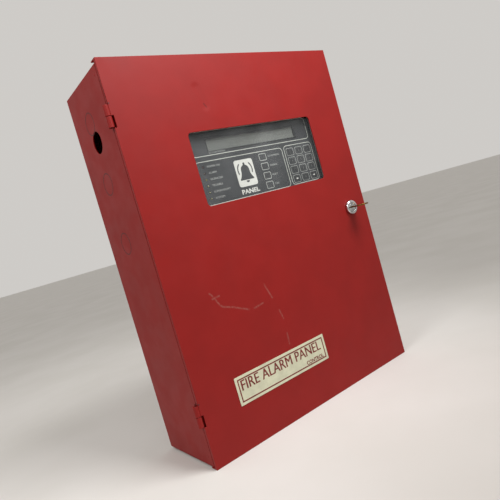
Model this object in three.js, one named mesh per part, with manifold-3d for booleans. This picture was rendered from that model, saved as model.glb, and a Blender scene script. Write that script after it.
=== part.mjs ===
// A wall-mounted fire alarm control panel: a sheet-steel cabinet with a hinged, lockable door, a display and
// keypad behind the door's window, and the boards, transformer and standby batteries inside.
// Millimetres, +Z up, +X to the right of someone facing the door. The origin is the centre of the cabinet's
// back face, which lies on the wall, so everything is at negative Y and the door faces -Y.
import * as THREE from "three";
import { mergeVertices } from "three/addons/utils/BufferGeometryUtils.js";
import Module from "manifold-3d";

const wasm = await Module();
wasm.setup();

// ---- Driving dimensions: cabinet and door ----
const BOX_WIDTH = 377;
const BOX_HEIGHT = 500;
const TOTAL_DEPTH = 126; // wall to the door's front face
const BOX_SHEET = 1.5;
const BOX_SETBACK = 5.5; // door's front face to the box's front lip
const LIP_WIDTH = 14;
const DOOR_SHEET = 1.5;
const DOOR_TOP_OVERHANG = 5;
const DOOR_BOTTOM_OVERHANG = 3;
const DOOR_SIDE_OVERHANG = 3;
const DOOR_RETURN_DEPTH = 13;
const HINGE_RETURN_CLEARANCE = 1; // between the hinge side's short return and the box

// ---- Hinges: a pin in rolled knuckles, the door's above the box's ----
const HINGE_PIN_DIAMETER = 4;
const PIN_CLEARANCE = 0.2;
const KNUCKLE_LENGTH = 13.2;
const KNUCKLE_GAP = 0.5;
const UPPER_HINGE_DROP = 63.8; // box top to the seam between the knuckles
const LOWER_HINGE_RISE = 66.3; // box bottom to the seam between the knuckles
const NOTCH_CLEARANCE = 1.6;
const NOTCH_END_GAP = 1;

// ---- Knockouts, conduit hole and wall fixings ----
const KNOCKOUT_DIAMETER = 28.6;
const KNOCKOUT_SLIT = 0.6;
const KNOCKOUT_TAB_ANGLE = 0.22; // radians of the ring left uncut at each tab
const KNOCKOUT_TABS = 2;
const SIDE_KNOCKOUTS = 3;
const SIDE_KNOCKOUT_DROP = 51;
const SIDE_KNOCKOUT_PITCH = 79;
const TOP_KNOCKOUTS = 3;
const TOP_KNOCKOUT_PITCH = 90;
const KNOCKOUT_FROM_WALL = 56;
const CONDUIT_HOLE_DIAMETER = 28.3;
const CONDUIT_HOLE_FROM_WALL = 62.3;
const CONDUIT_HOLE_DROP = 77.2;
const KEYHOLE_HEAD_DIAMETER = 11;
const KEYHOLE_SLOT_WIDTH = 6;
const KEYHOLE_SLOT_LENGTH = 12;
const KEYHOLE_INSET_X = 20.5;
const KEYHOLE_INSET_Z = 40;

// ---- Window in the door ----
const WINDOW_WIDTH = 215;
const WINDOW_HEIGHT = 96.7;
const WINDOW_CORNER = 5;
const WINDOW_OFFSET_X = 10.2; // from the door's centre
const WINDOW_FROM_TOP = 101;
const PANE_THICKNESS = 2.5;
const PANE_OVERLAP = 9;
const RETAINER_THICKNESS = 1.2;
const RETAINER_REVEAL = 3;
const RETAINER_FLANGE = 9;
const RETAINER_STUD_DIAMETER = 3;
const RETAINER_STUD_LENGTH = 6.9;

// ---- Name label on the door ----
const LABEL_WIDTH = 161;
const LABEL_HEIGHT = 37;
const LABEL_THICKNESS = 0.5;
const LABEL_CORNER = 1;
const LABEL_OFFSET_X = -53;
const LABEL_FROM_BOTTOM = 55.7;

// ---- Cam lock and key ----
const LOCK_INSET = 35; // door's free edge to the lock's axis
const LOCK_ABOVE_MIDDLE = 1.5;
const LOCK_HEAD_RIM = 1.85; // the head past the barrel, all round
const LOCK_HEAD_HEIGHT = 6;
const LOCK_HEAD_BEVEL = 2.2;
const LOCK_BARREL_DIAMETER = 18.8;
const LOCK_BARREL_DEPTH = 16;
const LOCK_NUT_WALL = 2.6; // from the barrel to a flat of the nut
const LOCK_NUT_THICKNESS = 3.5;
const PLUG_DIAMETER = 12;
const PLUG_CLEARANCE = 0.2;
const PLUG_RECESS = 0.5;
const PLUG_TAIL_DIAMETER = 8;
const KEYWAY_DEPTH = 10;
const CAM_WIDTH = 14;
const CAM_THICKNESS = 2;
const CAM_REACH = 28;
const CAM_HEEL = 8;
const CAM_JOGGLE_START = 11.5;
const CAM_JOGGLE_LENGTH = 6;
const CAM_BEHIND_LIP = 1.2;
const CAM_SCREW_DIAMETER = 3;
const CAM_SCREW_HEAD_DIAMETER = 7;
const CAM_SCREW_HEAD_HEIGHT = 2.2;
const CAM_SCREW_HEAD_BEVEL = 1;
const CAM_SCREW_LENGTH = 6;
const KEY_BLADE_WIDTH = 7;
const KEY_THICKNESS = 2;
const KEY_BLADE_DEPTH = 8;
const KEY_COLLAR_WIDTH = 10;
const KEY_BOW_RADIUS = 11.5;
const KEY_BOW_HOLE_RADIUS = 3.2;
const KEY_TIP_OUT = 34; // door's front face to the end of the bow
const KEY_BITTING = [1.4, 0.6, 1.8, 1];
const KEY_BITTING_PITCH = 2.6;
const KEY_NOTCH_SHARE = 0.9; // how much of the pitch one notch takes

// ---- Display and keypad behind the window ----
const DISPLAY_RECESS = 10; // door's front face to the faceplate
const FACEPLATE_THICKNESS = 1.2;
const FACEPLATE_MARGIN_X = 18.5; // past the window's edge
const FACEPLATE_MARGIN_Z = 9.6;
const FACEPLATE_CORNER = 3;
const BOARD_GAP = 10; // faceplate to display board
const BOARD_THICKNESS = 1.6;
const BOARD_INSET = 10;
const STANDOFF_DIAMETER = 5;
const STANDOFF_INSET = 5;
const KEY_COLUMNS = 3;
const KEY_ROWS = 4;
const KEY_PITCH_X = 17.6;
const KEY_PITCH_Z = 13.6;
const KEYPAD_OFFSET_X = 79.5;
const KEYPAD_OFFSET_Z = -18.1;
const KEY_CAP_WIDTH = 12.2;
const KEY_CAP_HEIGHT = 10;
const FUNCTION_OFFSET_X = 8.1;
const FUNCTION_CAP_WIDTH = 13.6;
const FUNCTION_CAP_HEIGHT = 10.6;
const CAP_CORNER = 2;
const CAP_PROUD = 0.4;
const CAP_CLEARANCE = 0.3;
const CAP_FLANGE_RIM = 1;
const CAP_FLANGE_THICKNESS = 1;
const CAP_STEM_WIDTH = 4;
const BUTTON_TRAVEL = 0.6;
const SWITCH_WIDTH = 6;
const SWITCH_HEIGHT = 4.2;
const LED_COUNT = 6;
const RED_LED_COUNT = 2;
const LED_DIAMETER = 3;
const LED_PITCH = 8.5;
const LED_OFFSET_X = -93.2;
const LED_OFFSET_Z = -17.7;
const LED_PROUD = 0.5;
const LED_HOLDER_DIAMETER = 4;
const LCD_OFFSET_X = 0.8;
const LCD_OFFSET_Z = 31.1;
const LCD_VIEW_WIDTH = 157;
const LCD_VIEW_HEIGHT = 15.8;
const LCD_VIEW_CORNER = 1;
const LCD_BEZEL_RIM = 7;
const LCD_BEZEL_DEPTH = 6;
const LCD_BEZEL_FACE = 0.8;
const LCD_BOARD_RIM = 12;
const LCD_GLASS_RIM = 2;
const LCD_GLASS_THICKNESS = 2.5;

// ---- Bracket that carries the display ----
const BRACKET_GAP = 6; // display board to bracket
const BRACKET_SHEET = 1.2;
const BRACKET_FOOT = 12;
const PILLAR_DIAMETER = 7;
const PILLAR_INSET = 4.5;

// ---- Chassis plate and electronics ----
const CHASSIS_WIDTH = 300;
const CHASSIS_SHEET = 1.5;
const CHASSIS_STANDOFF = 7;
const CHASSIS_TOP_MARGIN = 12;
const CHASSIS_STUD_DIAMETER = 5;
const CHASSIS_STUD_INSET_X = 22;
const CHASSIS_STUD_INSET_Z = 5;
const BOARD_STANDOFF = 7;
const BOARD_MARGIN = 6;
const TERMINAL_PITCH = 9;
const TERMINAL_DEPTH = 14;
const TERMINAL_HEIGHT = 12;
const TERMINAL_WALL = 1;
const TERMINAL_STEP = 5;
const CHIP_WIDTH = 30;
const CHIP_THICKNESS = 4;
const CHIP_CHAMFER = 3;
const POWER_BOARD_WIDTH = 190;
const HEAT_SINK_WIDTH = 60;
const HEAT_SINK_HEIGHT = 40;
const HEAT_SINK_DEPTH = 24;
const HEAT_SINK_FINS = 8;
const HEAT_SINK_FIN_THICKNESS = 1.6;
const HEAT_SINK_BASE = 4;
const CAPACITOR_DIAMETER = 25;
const CAPACITOR_LENGTH = 38;
const CAPACITOR_BEVEL = 1;
const CAPACITOR_GROOVE = 0.8;
const CAPACITOR_GROOVE_RISE = 4; // from the can's base
const TRANSFORMER_WIDTH = 66;
const TRANSFORMER_HEIGHT = 50;
const TRANSFORMER_STACK = 30;
const TRANSFORMER_COIL_DEPTH = 50;
const TRANSFORMER_COIL_WIDTH = 42;
const TRANSFORMER_COIL_HEIGHT = 34;
const TRANSFORMER_FOOT = 9;
const AC_BLOCK_POLES = 4;
const AC_BLOCK_PITCH = 11;
const AC_BLOCK_HEIGHT = 24;
const AC_BLOCK_DEPTH = 18;
const FUSE_LENGTH = 20;
const FUSE_DIAMETER = 5.2;
const FUSE_CAP_LENGTH = 5;
const FUSE_CLIP_WALL = 1;
const FUSE_CLIP_WIDTH = 4;
const FUSE_BASE_THICKNESS = 5;
const COMPONENT_SPACING = 16;

// ---- Standby batteries ----
const BATTERY_WIDTH = 151;
const BATTERY_DEPTH = 65;
const BATTERY_HEIGHT = 94;
const BATTERY_LID = 4;
const BATTERY_LID_INSET = 1;
const BATTERY_FROM_WALL = 5;
const BATTERY_TAB_WIDTH = 6.3;
const BATTERY_TAB_THICKNESS = 1;
const BATTERY_TAB_HEIGHT = 6;
const BATTERY_TAB_INSET = 14;
const BATTERY_HEADROOM = 16; // lid to the chassis plate's lower edge
const STRAP_WIDTH = 20;
const STRAP_THICKNESS = 1.2;
const STRAP_TAB = 28; // along the box's side wall
const STRAP_RISE = 48;

// ---- Leads ----
const LEAD_DIAMETER = 3;
const LEAD_SIDES = 8;
const LEAD_STEPS = 12;
const RED_LEAD_POLE = 0;
const BLACK_LEAD_POLE = 2;
const RIBBON_WIDTH = 34;
const RIBBON_THICKNESS = 1.2;
const RIBBON_STEPS = 14;
const RIBBON_HEADER_HEIGHT = 6;
const RIBBON_HEADER_DEPTH = 7;
const GROUND_STUD_DIAMETER = 5;
const GROUND_STUD_LENGTH = 16;
const GROUND_NUT_ACROSS = 8;
const GROUND_NUT_THICKNESS = 4;

// ---- Clearances and roundness shared by every piece ----
const FIT_GAP = 0.3;
const FACE_GAP = 0.05; // between faces that bear on each other
const OVERCUT = 1; // how far a cutter runs past what it cuts
const ROUND_SIDES = 24;
const SMALL_ROUND_SIDES = 12;
const SLIT_SIDES = 10; // along each half of a knockout's ring
const CORNER_STEPS = 2;
const WIDE_CORNER_STEPS = 5;

// ---- Places worked out from the sizes above ----
const boxLeft = -BOX_WIDTH / 2;
const boxRight = BOX_WIDTH / 2;
const boxTop = BOX_HEIGHT / 2;
const boxBottom = -BOX_HEIGHT / 2;
const doorFront = -TOTAL_DEPTH;
const boxFront = doorFront + BOX_SETBACK;
const doorWidth = BOX_WIDTH + DOOR_SIDE_OVERHANG;
const doorHeight = BOX_HEIGHT + DOOR_TOP_OVERHANG + DOOR_BOTTOM_OVERHANG;
const doorX = DOOR_SIDE_OVERHANG / 2;
const doorZ = (DOOR_TOP_OVERHANG - DOOR_BOTTOM_OVERHANG) / 2;

const knuckleRadius = HINGE_PIN_DIAMETER / 2 + PIN_CLEARANCE + DOOR_SHEET;
const hingeX = boxLeft + DOOR_SHEET - knuckleRadius;
const hingeY = doorFront + knuckleRadius;
const hingeSeams = [boxTop - UPPER_HINGE_DROP, boxBottom + LOWER_HINGE_RISE];

const windowX = WINDOW_OFFSET_X;
const windowZ = doorHeight / 2 - WINDOW_FROM_TOP - WINDOW_HEIGHT / 2;
const paneFront = DOOR_SHEET + FIT_GAP;
const retainerFront = paneFront + PANE_THICKNESS + FIT_GAP;
const retainerStudX = WINDOW_WIDTH / 2 + PANE_OVERLAP + RETAINER_FLANGE / 2;
const retainerStudZ = WINDOW_HEIGHT / 2 + PANE_OVERLAP + RETAINER_FLANGE / 2;

const faceplateWidth = WINDOW_WIDTH + 2 * FACEPLATE_MARGIN_X;
const faceplateHeight = WINDOW_HEIGHT + 2 * FACEPLATE_MARGIN_Z;
const faceplateBack = DISPLAY_RECESS + FACEPLATE_THICKNESS;
const boardFront = faceplateBack + BOARD_GAP;
const boardBack = boardFront + BOARD_THICKNESS;
const boardWidth = faceplateWidth - 2 * BOARD_INSET;
const boardHeight = faceplateHeight - BOARD_INSET;
const displayX = doorX + windowX;
const displayZ = doorZ + windowZ;

const chassisFront = -(BOX_SHEET + CHASSIS_STANDOFF + CHASSIS_SHEET);
const batteryBottom = boxBottom + BOX_SHEET + FIT_GAP;
const batteryTop = batteryBottom + BATTERY_HEIGHT;
const chassisBottom = batteryTop + BATTERY_HEADROOM;
const chassisTop = boxTop - CHASSIS_TOP_MARGIN;
const bracketFront = doorFront + boardBack + BRACKET_GAP;
const bracketBottom = displayZ - faceplateHeight / 2;
const bracketTop = displayZ + faceplateHeight / 2;
const electronicsBack = chassisFront - BOARD_STANDOFF;
const electronicsFront = electronicsBack - BOARD_THICKNESS;
const mainBoardWidth = CHASSIS_WIDTH - 2 * BOARD_MARGIN;
const mainBoardTop = bracketBottom - BOARD_MARGIN;
const mainBoardBottom = chassisBottom + BOARD_MARGIN;
const powerBoardHeight = faceplateHeight - 4 * BOARD_MARGIN;
const topBayZ = (bracketTop + chassisTop) / 2;
const transformerX = -CHASSIS_WIDTH / 2 + BOARD_MARGIN + TRANSFORMER_FOOT + TRANSFORMER_WIDTH / 2;
const acBlockWidth = AC_BLOCK_POLES * AC_BLOCK_PITCH;
const transformerRight = transformerX + TRANSFORMER_WIDTH / 2 + TRANSFORMER_FOOT;
const acBlockX = transformerRight + COMPONENT_SPACING + acBlockWidth / 2;
const fuseX = acBlockX + acBlockWidth / 2 + COMPONENT_SPACING + FUSE_LENGTH / 2;

// ---- Colours and finishes ----
const finish = (color, roughness, metalness) => ({ color, roughness, metalness });
const RED_ENAMEL = finish(0xa93b36, 0.45, 0.1);
const ZINC = finish(0xb9bcbd, 0.35, 0.9);
const STEEL = finish(0x8f9295, 0.3, 0.9);
const CHROME = finish(0xd8dadc, 0.12, 1);
const BRASS = finish(0xb89a5a, 0.3, 1);
const CLEAR = finish(0xd8dde0, 0.05, 0);
const GREY_OVERLAY = finish(0x505254, 0.5, 0);
const DARK_KEY = finish(0x3a3c3e, 0.5, 0);
const CREAM = finish(0xcfcdb8, 0.5, 0);
const BOARD_GREEN = finish(0x1f5a3a, 0.4, 0);
const BLACK_PLASTIC = finish(0x1c1d1f, 0.5, 0);
const LCD_GREY = finish(0x828782, 0.2, 0);
const RED_LAMP = finish(0x7a2020, 0.3, 0);
const GREEN_LAMP = finish(0x9aa84a, 0.3, 0);
const BATTERY_GREY = finish(0x3c4046, 0.5, 0);
const COPPER_COIL = finish(0xb58a3c, 0.5, 0.1);
const RED_LEAD = finish(0xa51f1f, 0.5, 0);
const BLACK_LEAD = finish(0x161616, 0.5, 0);
const RIBBON_GREY = finish(0x9b9da0, 0.6, 0);

// ---- Geometry helpers ----

/** A box between two corners. */
function slab(x0, x1, y0, y1, z0, z1) {
  const geometry = new THREE.BoxGeometry(x1 - x0, y1 - y0, z1 - z0);
  return geometry.translate((x0 + x1) / 2, (y0 + y1) / 2, (z0 + z1) / 2);
}

/** A rectangle with round corners, centred on (cx, cy). */
function roundedRect(width, height, radius, cx = 0, cy = 0, PathClass = THREE.Shape, steps = CORNER_STEPS) {
  const corners = [[1, -1], [1, 1], [-1, 1], [-1, -1]];
  const points = corners.flatMap(([sideX, sideY], quarter) =>
    Array.from({ length: steps + 1 }, (_, i) => {
      const angle = (quarter - 1 + i / steps) * (Math.PI / 2);
      const x = cx + sideX * (width / 2 - radius) + radius * Math.cos(angle);
      const y = cy + sideY * (height / 2 - radius) + radius * Math.sin(angle);
      return new THREE.Vector2(x, y);
    }));
  return new PathClass(points);
}

/** A circle, as a shape or a hole. */
function circle(radius, cx = 0, cy = 0, PathClass = THREE.Shape) {
  const path = new PathClass();
  path.absarc(cx, cy, radius, 0, 2 * Math.PI);
  return path;
}

/** A closed outline through the given [a, b] points. */
function outline(points) {
  return new THREE.Shape(points.map(([a, b]) => new THREE.Vector2(a, b)));
}

function extrude(shape, depth, sides) {
  const options = { depth, curveSegments: sides / 2, bevelEnabled: false };
  return new THREE.ExtrudeGeometry(shape, options);
}

/** Extrudes an outline drawn in (x, z) from y0 to y1. */
function extrudeY(shape, y0, y1, sides = SMALL_ROUND_SIDES) {
  const turned = new THREE.Matrix4().set(1, 0, 0, 0, 0, 0, -1, y1, 0, 1, 0, 0, 0, 0, 0, 1);
  return extrude(shape, y1 - y0, sides).applyMatrix4(turned);
}

/** Extrudes an outline drawn in (y, z) from x0 to x1. */
function extrudeX(shape, x0, x1, sides = SMALL_ROUND_SIDES) {
  const turned = new THREE.Matrix4().set(0, 0, 1, x0, 1, 0, 0, 0, 0, 1, 0, 0, 0, 0, 0, 1);
  return extrude(shape, x1 - x0, sides).applyMatrix4(turned);
}

/** Extrudes an outline drawn in (x, y) from z0 to z1. */
function extrudeZ(shape, z0, z1, sides = SMALL_ROUND_SIDES) {
  return extrude(shape, z1 - z0, sides).translate(0, 0, z0);
}

/** A round bar along Y, centred on (x, z). */
function barY(radius, y0, y1, x = 0, z = 0, sides = ROUND_SIDES) {
  const geometry = new THREE.CylinderGeometry(radius, radius, y1 - y0, sides);
  return geometry.translate(x, (y0 + y1) / 2, z);
}

/** A round bar along Z, centred on (x, y). */
function barZ(radius, z0, z1, x = 0, y = 0, sides = ROUND_SIDES) {
  const geometry = new THREE.CylinderGeometry(radius, radius, z1 - z0, sides).rotateX(Math.PI / 2);
  return geometry.translate(x, y, (z0 + z1) / 2);
}

/** Turns a [radius, y] profile about the Y axis. */
function turned(profile, sides = ROUND_SIDES) {
  return new THREE.LatheGeometry(profile.map(([r, y]) => new THREE.Vector2(r, y)), sides);
}

/** A six-sided nut's outline, with its flats across the given distance. */
function hexagon(across) {
  const corner = across / 2 / Math.cos(Math.PI / 6);
  const angles = Array.from({ length: 6 }, (_, i) => (i * Math.PI) / 3);
  return outline(angles.map((angle) => [corner * Math.cos(angle), corner * Math.sin(angle)]));
}

/** A closed geometry as a solid that can be joined and cut. */
function solid(geometry) {
  const bare = geometry.index ? geometry.toNonIndexed() : geometry.clone();
  bare.deleteAttribute("normal");
  bare.deleteAttribute("uv");
  const merged = mergeVertices(bare);
  const vertProperties = new Float32Array(merged.attributes.position.array);
  const triVerts = new Uint32Array(merged.index.array);
  return new wasm.Manifold(new wasm.Mesh({ numProp: 3, vertProperties, triVerts }));
}

/** A solid as a geometry that a mesh can show. */
function geometryOf(body) {
  const mesh = body.getMesh();
  const geometry = new THREE.BufferGeometry();
  geometry.setAttribute("position", new THREE.BufferAttribute(new Float32Array(mesh.vertProperties), 3));
  geometry.setIndex(new THREE.BufferAttribute(new Uint32Array(mesh.triVerts), 1));
  geometry.computeVertexNormals();
  return geometry;
}

/** Joins some geometries and cuts others away. */
function combine(joined, cut = []) {
  const whole = joined.map(solid).reduce((a, b) => a.add(b));
  return geometryOf(cut.map(solid).reduce((a, b) => a.subtract(b), whole));
}

/** A named piece. */
function piece(name, geometry, look) {
  const mesh = new THREE.Mesh(geometry, new THREE.MeshStandardMaterial(look));
  mesh.name = name;
  return mesh;
}

/** A group at a place, holding pieces and other groups. */
function assembly(x, y, z, children) {
  const group = new THREE.Group();
  group.position.set(x, y, z);
  group.add(...children);
  return group;
}

// ---- Cabinet ----

/** One rolled knuckle along Z, with its bore cut by hingeBore. */
function knuckle(z0, z1, x, y) {
  return barZ(knuckleRadius, z0, z1, x, y);
}

function hingeBore(z0, z1, x, y) {
  return barZ(HINGE_PIN_DIAMETER / 2 + PIN_CLEARANCE, z0 - OVERCUT, z1 + OVERCUT, x, y);
}

/** The heights of a hinge's two knuckles from the seam between them. */
function knuckleSpans(seam) {
  return {
    box: [seam - KNUCKLE_GAP / 2 - KNUCKLE_LENGTH, seam - KNUCKLE_GAP / 2],
    door: [seam + KNUCKLE_GAP / 2, seam + KNUCKLE_GAP / 2 + KNUCKLE_LENGTH],
  };
}

/** The curved slits around a knockout's slug, as outlines between its tabs. */
function knockoutSlits(cx, cy, tabAngle) {
  const outer = KNOCKOUT_DIAMETER / 2;
  const inner = outer - KNOCKOUT_SLIT;
  const step = (2 * Math.PI) / KNOCKOUT_TABS;
  return Array.from({ length: KNOCKOUT_TABS }, (_, i) => {
    const start = tabAngle + i * step + KNOCKOUT_TAB_ANGLE / 2;
    const end = start + step - KNOCKOUT_TAB_ANGLE;
    const slit = new THREE.Shape();
    slit.absarc(cx, cy, outer, start, end);
    slit.absarc(cx, cy, inner, end, start, true);
    slit.closePath();
    return slit;
  });
}

/** A keyhole: a round hole for a screw's head, with a slot above it for the shank. */
function keyholeCutters(x, z) {
  const slotTop = z + KEYHOLE_SLOT_LENGTH;
  const half = KEYHOLE_SLOT_WIDTH / 2;
  return [
    barY(KEYHOLE_HEAD_DIAMETER / 2, -BOX_SHEET - OVERCUT, OVERCUT, x, z, SMALL_ROUND_SIDES),
    slab(x - half, x + half, -BOX_SHEET - OVERCUT, OVERCUT, z, slotTop),
    barY(half, -BOX_SHEET - OVERCUT, OVERCUT, x, slotTop, SMALL_ROUND_SIDES),
  ];
}

function boxCutters() {
  const inX = boxRight - BOX_SHEET;
  const inZ = boxTop - BOX_SHEET;
  const openX = boxRight - LIP_WIDTH;
  const openZ = boxTop - LIP_WIDTH;
  const cutters = [
    slab(-inX, inX, boxFront + BOX_SHEET, -BOX_SHEET, -inZ, inZ),
    slab(-openX, openX, boxFront - OVERCUT, boxFront + BOX_SHEET + OVERCUT, -openZ, openZ),
  ];
  for (const seam of hingeSeams) {
    const { box, door } = knuckleSpans(seam);
    const notchX = hingeX + knuckleRadius + NOTCH_CLEARANCE;
    const notchY = hingeY + knuckleRadius + NOTCH_CLEARANCE;
    const notchFront = doorFront - OVERCUT;
    const outside = hingeX - knuckleRadius - OVERCUT;
    cutters.push(slab(outside, notchX, notchFront, notchY, box[1], door[1] + NOTCH_END_GAP));
    cutters.push(hingeBore(box[0], box[1], hingeX, hingeY));
  }
  for (let i = 0; i < SIDE_KNOCKOUTS; i++) {
    const z = boxTop - SIDE_KNOCKOUT_DROP - i * SIDE_KNOCKOUT_PITCH;
    for (const slit of knockoutSlits(-KNOCKOUT_FROM_WALL, z, 0)) {
      cutters.push(extrudeX(slit, boxLeft - OVERCUT, boxLeft + BOX_SHEET + OVERCUT, SLIT_SIDES));
    }
  }
  for (let i = 0; i < TOP_KNOCKOUTS; i++) {
    const x = (i - (TOP_KNOCKOUTS - 1) / 2) * TOP_KNOCKOUT_PITCH;
    for (const slit of knockoutSlits(x, -KNOCKOUT_FROM_WALL, Math.PI / 2)) {
      cutters.push(extrudeZ(slit, boxTop - BOX_SHEET - OVERCUT, boxTop + OVERCUT, SLIT_SIDES));
    }
  }
  const conduitHole = circle(CONDUIT_HOLE_DIAMETER / 2, -CONDUIT_HOLE_FROM_WALL, boxTop - CONDUIT_HOLE_DROP);
  cutters.push(extrudeX(conduitHole, boxLeft - OVERCUT, boxLeft + BOX_SHEET + OVERCUT, ROUND_SIDES));
  for (const x of [boxLeft + KEYHOLE_INSET_X, boxRight - KEYHOLE_INSET_X]) {
    for (const z of [boxBottom + KEYHOLE_INSET_Z, boxTop - KEYHOLE_INSET_Z]) {
      cutters.push(...keyholeCutters(x, z));
    }
  }
  return cutters;
}

/** The welded studs that hold the chassis plate, each with a shoulder behind the plate. */
function chassisStuds() {
  const shoulderFront = chassisFront + CHASSIS_SHEET + FACE_GAP;
  const studFront = chassisFront - CHASSIS_STUD_DIAMETER;
  return chassisStudPlaces().flatMap(([x, z]) => [
    barY(CHASSIS_STUD_DIAMETER, shoulderFront, -BOX_SHEET / 2, x, z, SMALL_ROUND_SIDES),
    barY(CHASSIS_STUD_DIAMETER / 2, studFront, shoulderFront + OVERCUT, x, z, SMALL_ROUND_SIDES),
  ]);
}

function chassisStudPlaces() {
  const x = CHASSIS_WIDTH / 2 - CHASSIS_STUD_INSET_X;
  return [-x, x].flatMap((sx) => [
    [sx, chassisBottom + CHASSIS_STUD_INSET_Z],
    [sx, chassisTop - CHASSIS_STUD_INSET_Z],
  ]);
}

function makeBackBox() {
  const knuckles = hingeSeams.map((seam) => knuckle(...knuckleSpans(seam).box, hingeX, hingeY));
  const shell = slab(boxLeft, boxRight, boxFront, 0, boxBottom, boxTop);
  const emptied = combine([shell, ...knuckles], boxCutters());
  return piece("back_box", combine([emptied, ...chassisStuds()]), RED_ENAMEL);
}

/** A headless pin with a tapered end, standing in a hinge's two knuckles. */
function makeHingePin(name, seam) {
  const { box, door } = knuckleSpans(seam);
  const radius = HINGE_PIN_DIAMETER / 2;
  const length = door[1] - box[0] - 2 * KNUCKLE_GAP;
  const profile = [[0, 0], [radius, 0], [radius, length - radius / 2], [radius / 2, length], [0, length]];
  const pin = piece(name, turned(profile, SMALL_ROUND_SIDES), STEEL);
  pin.rotation.x = Math.PI / 2;
  pin.position.set(hingeX, hingeY, box[0] + KNUCKLE_GAP);
  return pin;
}

// ---- Door, in its own frame: origin at the centre of its front face, +Y into the cabinet ----

/** The door's pressed tray: a face with deep returns on three sides and a short one at the hinges. */
function doorTray() {
  const x = doorWidth / 2;
  const z = doorHeight / 2;
  const shortReturn = BOX_SETBACK - HINGE_RETURN_CLEARANCE;
  const sheetIn = DOOR_SHEET;
  const free = slab(x - sheetIn, x, 0, DOOR_RETURN_DEPTH, -z, z);
  const top = slab(-x, x, 0, DOOR_RETURN_DEPTH, z - sheetIn, z);
  const bottom = slab(-x, x, 0, DOOR_RETURN_DEPTH, -z, -z + sheetIn);
  const hinged = slab(-x, -x + sheetIn, 0, shortReturn, -z, z);
  return [slab(-x, x, 0, sheetIn, -z, z), free, top, bottom, hinged];
}

function retainerStudPlaces() {
  return [-retainerStudX, 0, retainerStudX].flatMap((x) => [
    [x, -retainerStudZ],
    [x, retainerStudZ],
  ]);
}

function makeDoor(lockX, lockZ) {
  const axisX = hingeX - doorX;
  const axisY = hingeY - doorFront;
  const joined = doorTray();
  const opening = windowOutline(WINDOW_WIDTH, WINDOW_HEIGHT, THREE.Shape, windowX, windowZ);
  const lockHole = LOCK_BARREL_DIAMETER / 2 + FIT_GAP;
  const cut = [
    extrudeY(opening, -OVERCUT, DOOR_SHEET + OVERCUT),
    barY(lockHole, -OVERCUT, DOOR_SHEET + OVERCUT, lockX, lockZ),
  ];
  for (const seam of hingeSeams) {
    const spans = knuckleSpans(seam - doorZ);
    joined.push(knuckle(...spans.door, axisX, axisY));
    cut.push(hingeBore(...spans.door, axisX, axisY));
    const notchX = axisX + knuckleRadius + NOTCH_CLEARANCE;
    const outside = axisX - knuckleRadius - OVERCUT;
    const notchBottom = spans.box[0] - NOTCH_END_GAP;
    cut.push(slab(outside, notchX, -OVERCUT, DOOR_RETURN_DEPTH, notchBottom, spans.door[0]));
  }
  for (const [x, z] of retainerStudPlaces()) {
    const studBack = DOOR_SHEET + RETAINER_STUD_LENGTH;
    const stud = barY(RETAINER_STUD_DIAMETER / 2, DOOR_SHEET / 2, studBack, windowX + x, windowZ + z,
      SMALL_ROUND_SIDES);
    joined.push(stud);
  }
  return piece("door", combine(joined, cut), RED_ENAMEL);
}

/** A rectangle with the window's corners. */
function windowOutline(width, height, PathClass = THREE.Shape, x = 0, z = 0) {
  return roundedRect(width, height, WINDOW_CORNER, x, z, PathClass, WIDE_CORNER_STEPS);
}

/** The clear pane, in the window's frame. */
function makeWindowPane() {
  const width = WINDOW_WIDTH + 2 * PANE_OVERLAP;
  const height = WINDOW_HEIGHT + 2 * PANE_OVERLAP;
  const pane = extrudeY(windowOutline(width, height), paneFront, paneFront + PANE_THICKNESS);
  return piece("window_pane", pane, CLEAR);
}

/** The frame that clamps the pane, in the window's frame. */
function makeWindowRetainer() {
  const width = WINDOW_WIDTH + 2 * (PANE_OVERLAP + RETAINER_FLANGE);
  const height = WINDOW_HEIGHT + 2 * (PANE_OVERLAP + RETAINER_FLANGE);
  const openWidth = WINDOW_WIDTH + 2 * RETAINER_REVEAL;
  const openHeight = WINDOW_HEIGHT + 2 * RETAINER_REVEAL;
  const frame = windowOutline(width, height);
  frame.holes.push(windowOutline(openWidth, openHeight, THREE.Path));
  const holeRadius = RETAINER_STUD_DIAMETER / 2 + FIT_GAP;
  for (const [x, z] of retainerStudPlaces()) {
    frame.holes.push(circle(holeRadius, x, z, THREE.Path));
  }
  const back = retainerFront + RETAINER_THICKNESS;
  return piece("window_retainer", extrudeY(frame, retainerFront, back), ZINC);
}

function makeDoorLabel() {
  const z = -doorHeight / 2 + LABEL_FROM_BOTTOM + LABEL_HEIGHT / 2;
  const plate = roundedRect(LABEL_WIDTH, LABEL_HEIGHT, LABEL_CORNER, LABEL_OFFSET_X, z);
  return piece("door_label", extrudeY(plate, -FACE_GAP - LABEL_THICKNESS, -FACE_GAP), CREAM);
}

// ---- Lock, in its own frame: origin where its axis meets the door's front face, +Y into the cabinet ----

const boreRadius = PLUG_DIAMETER / 2 + PLUG_CLEARANCE;
const plugBack = LOCK_BARREL_DEPTH + FIT_GAP;
const camFront = plugBack + FACE_GAP;
const camBack = camFront + CAM_THICKNESS;

function makeLockBody() {
  const barrel = LOCK_BARREL_DIAMETER / 2;
  const head = barrel + LOCK_HEAD_RIM;
  const front = -FACE_GAP - LOCK_HEAD_HEIGHT;
  const profile = [
    [boreRadius, front],
    [head - LOCK_HEAD_BEVEL, front],
    [head, front + LOCK_HEAD_BEVEL],
    [head, -FACE_GAP],
    [barrel, -FACE_GAP],
    [barrel, LOCK_BARREL_DEPTH],
    [boreRadius, LOCK_BARREL_DEPTH],
    [boreRadius, front],
  ];
  return piece("lock_body", turned(profile), CHROME);
}

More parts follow.
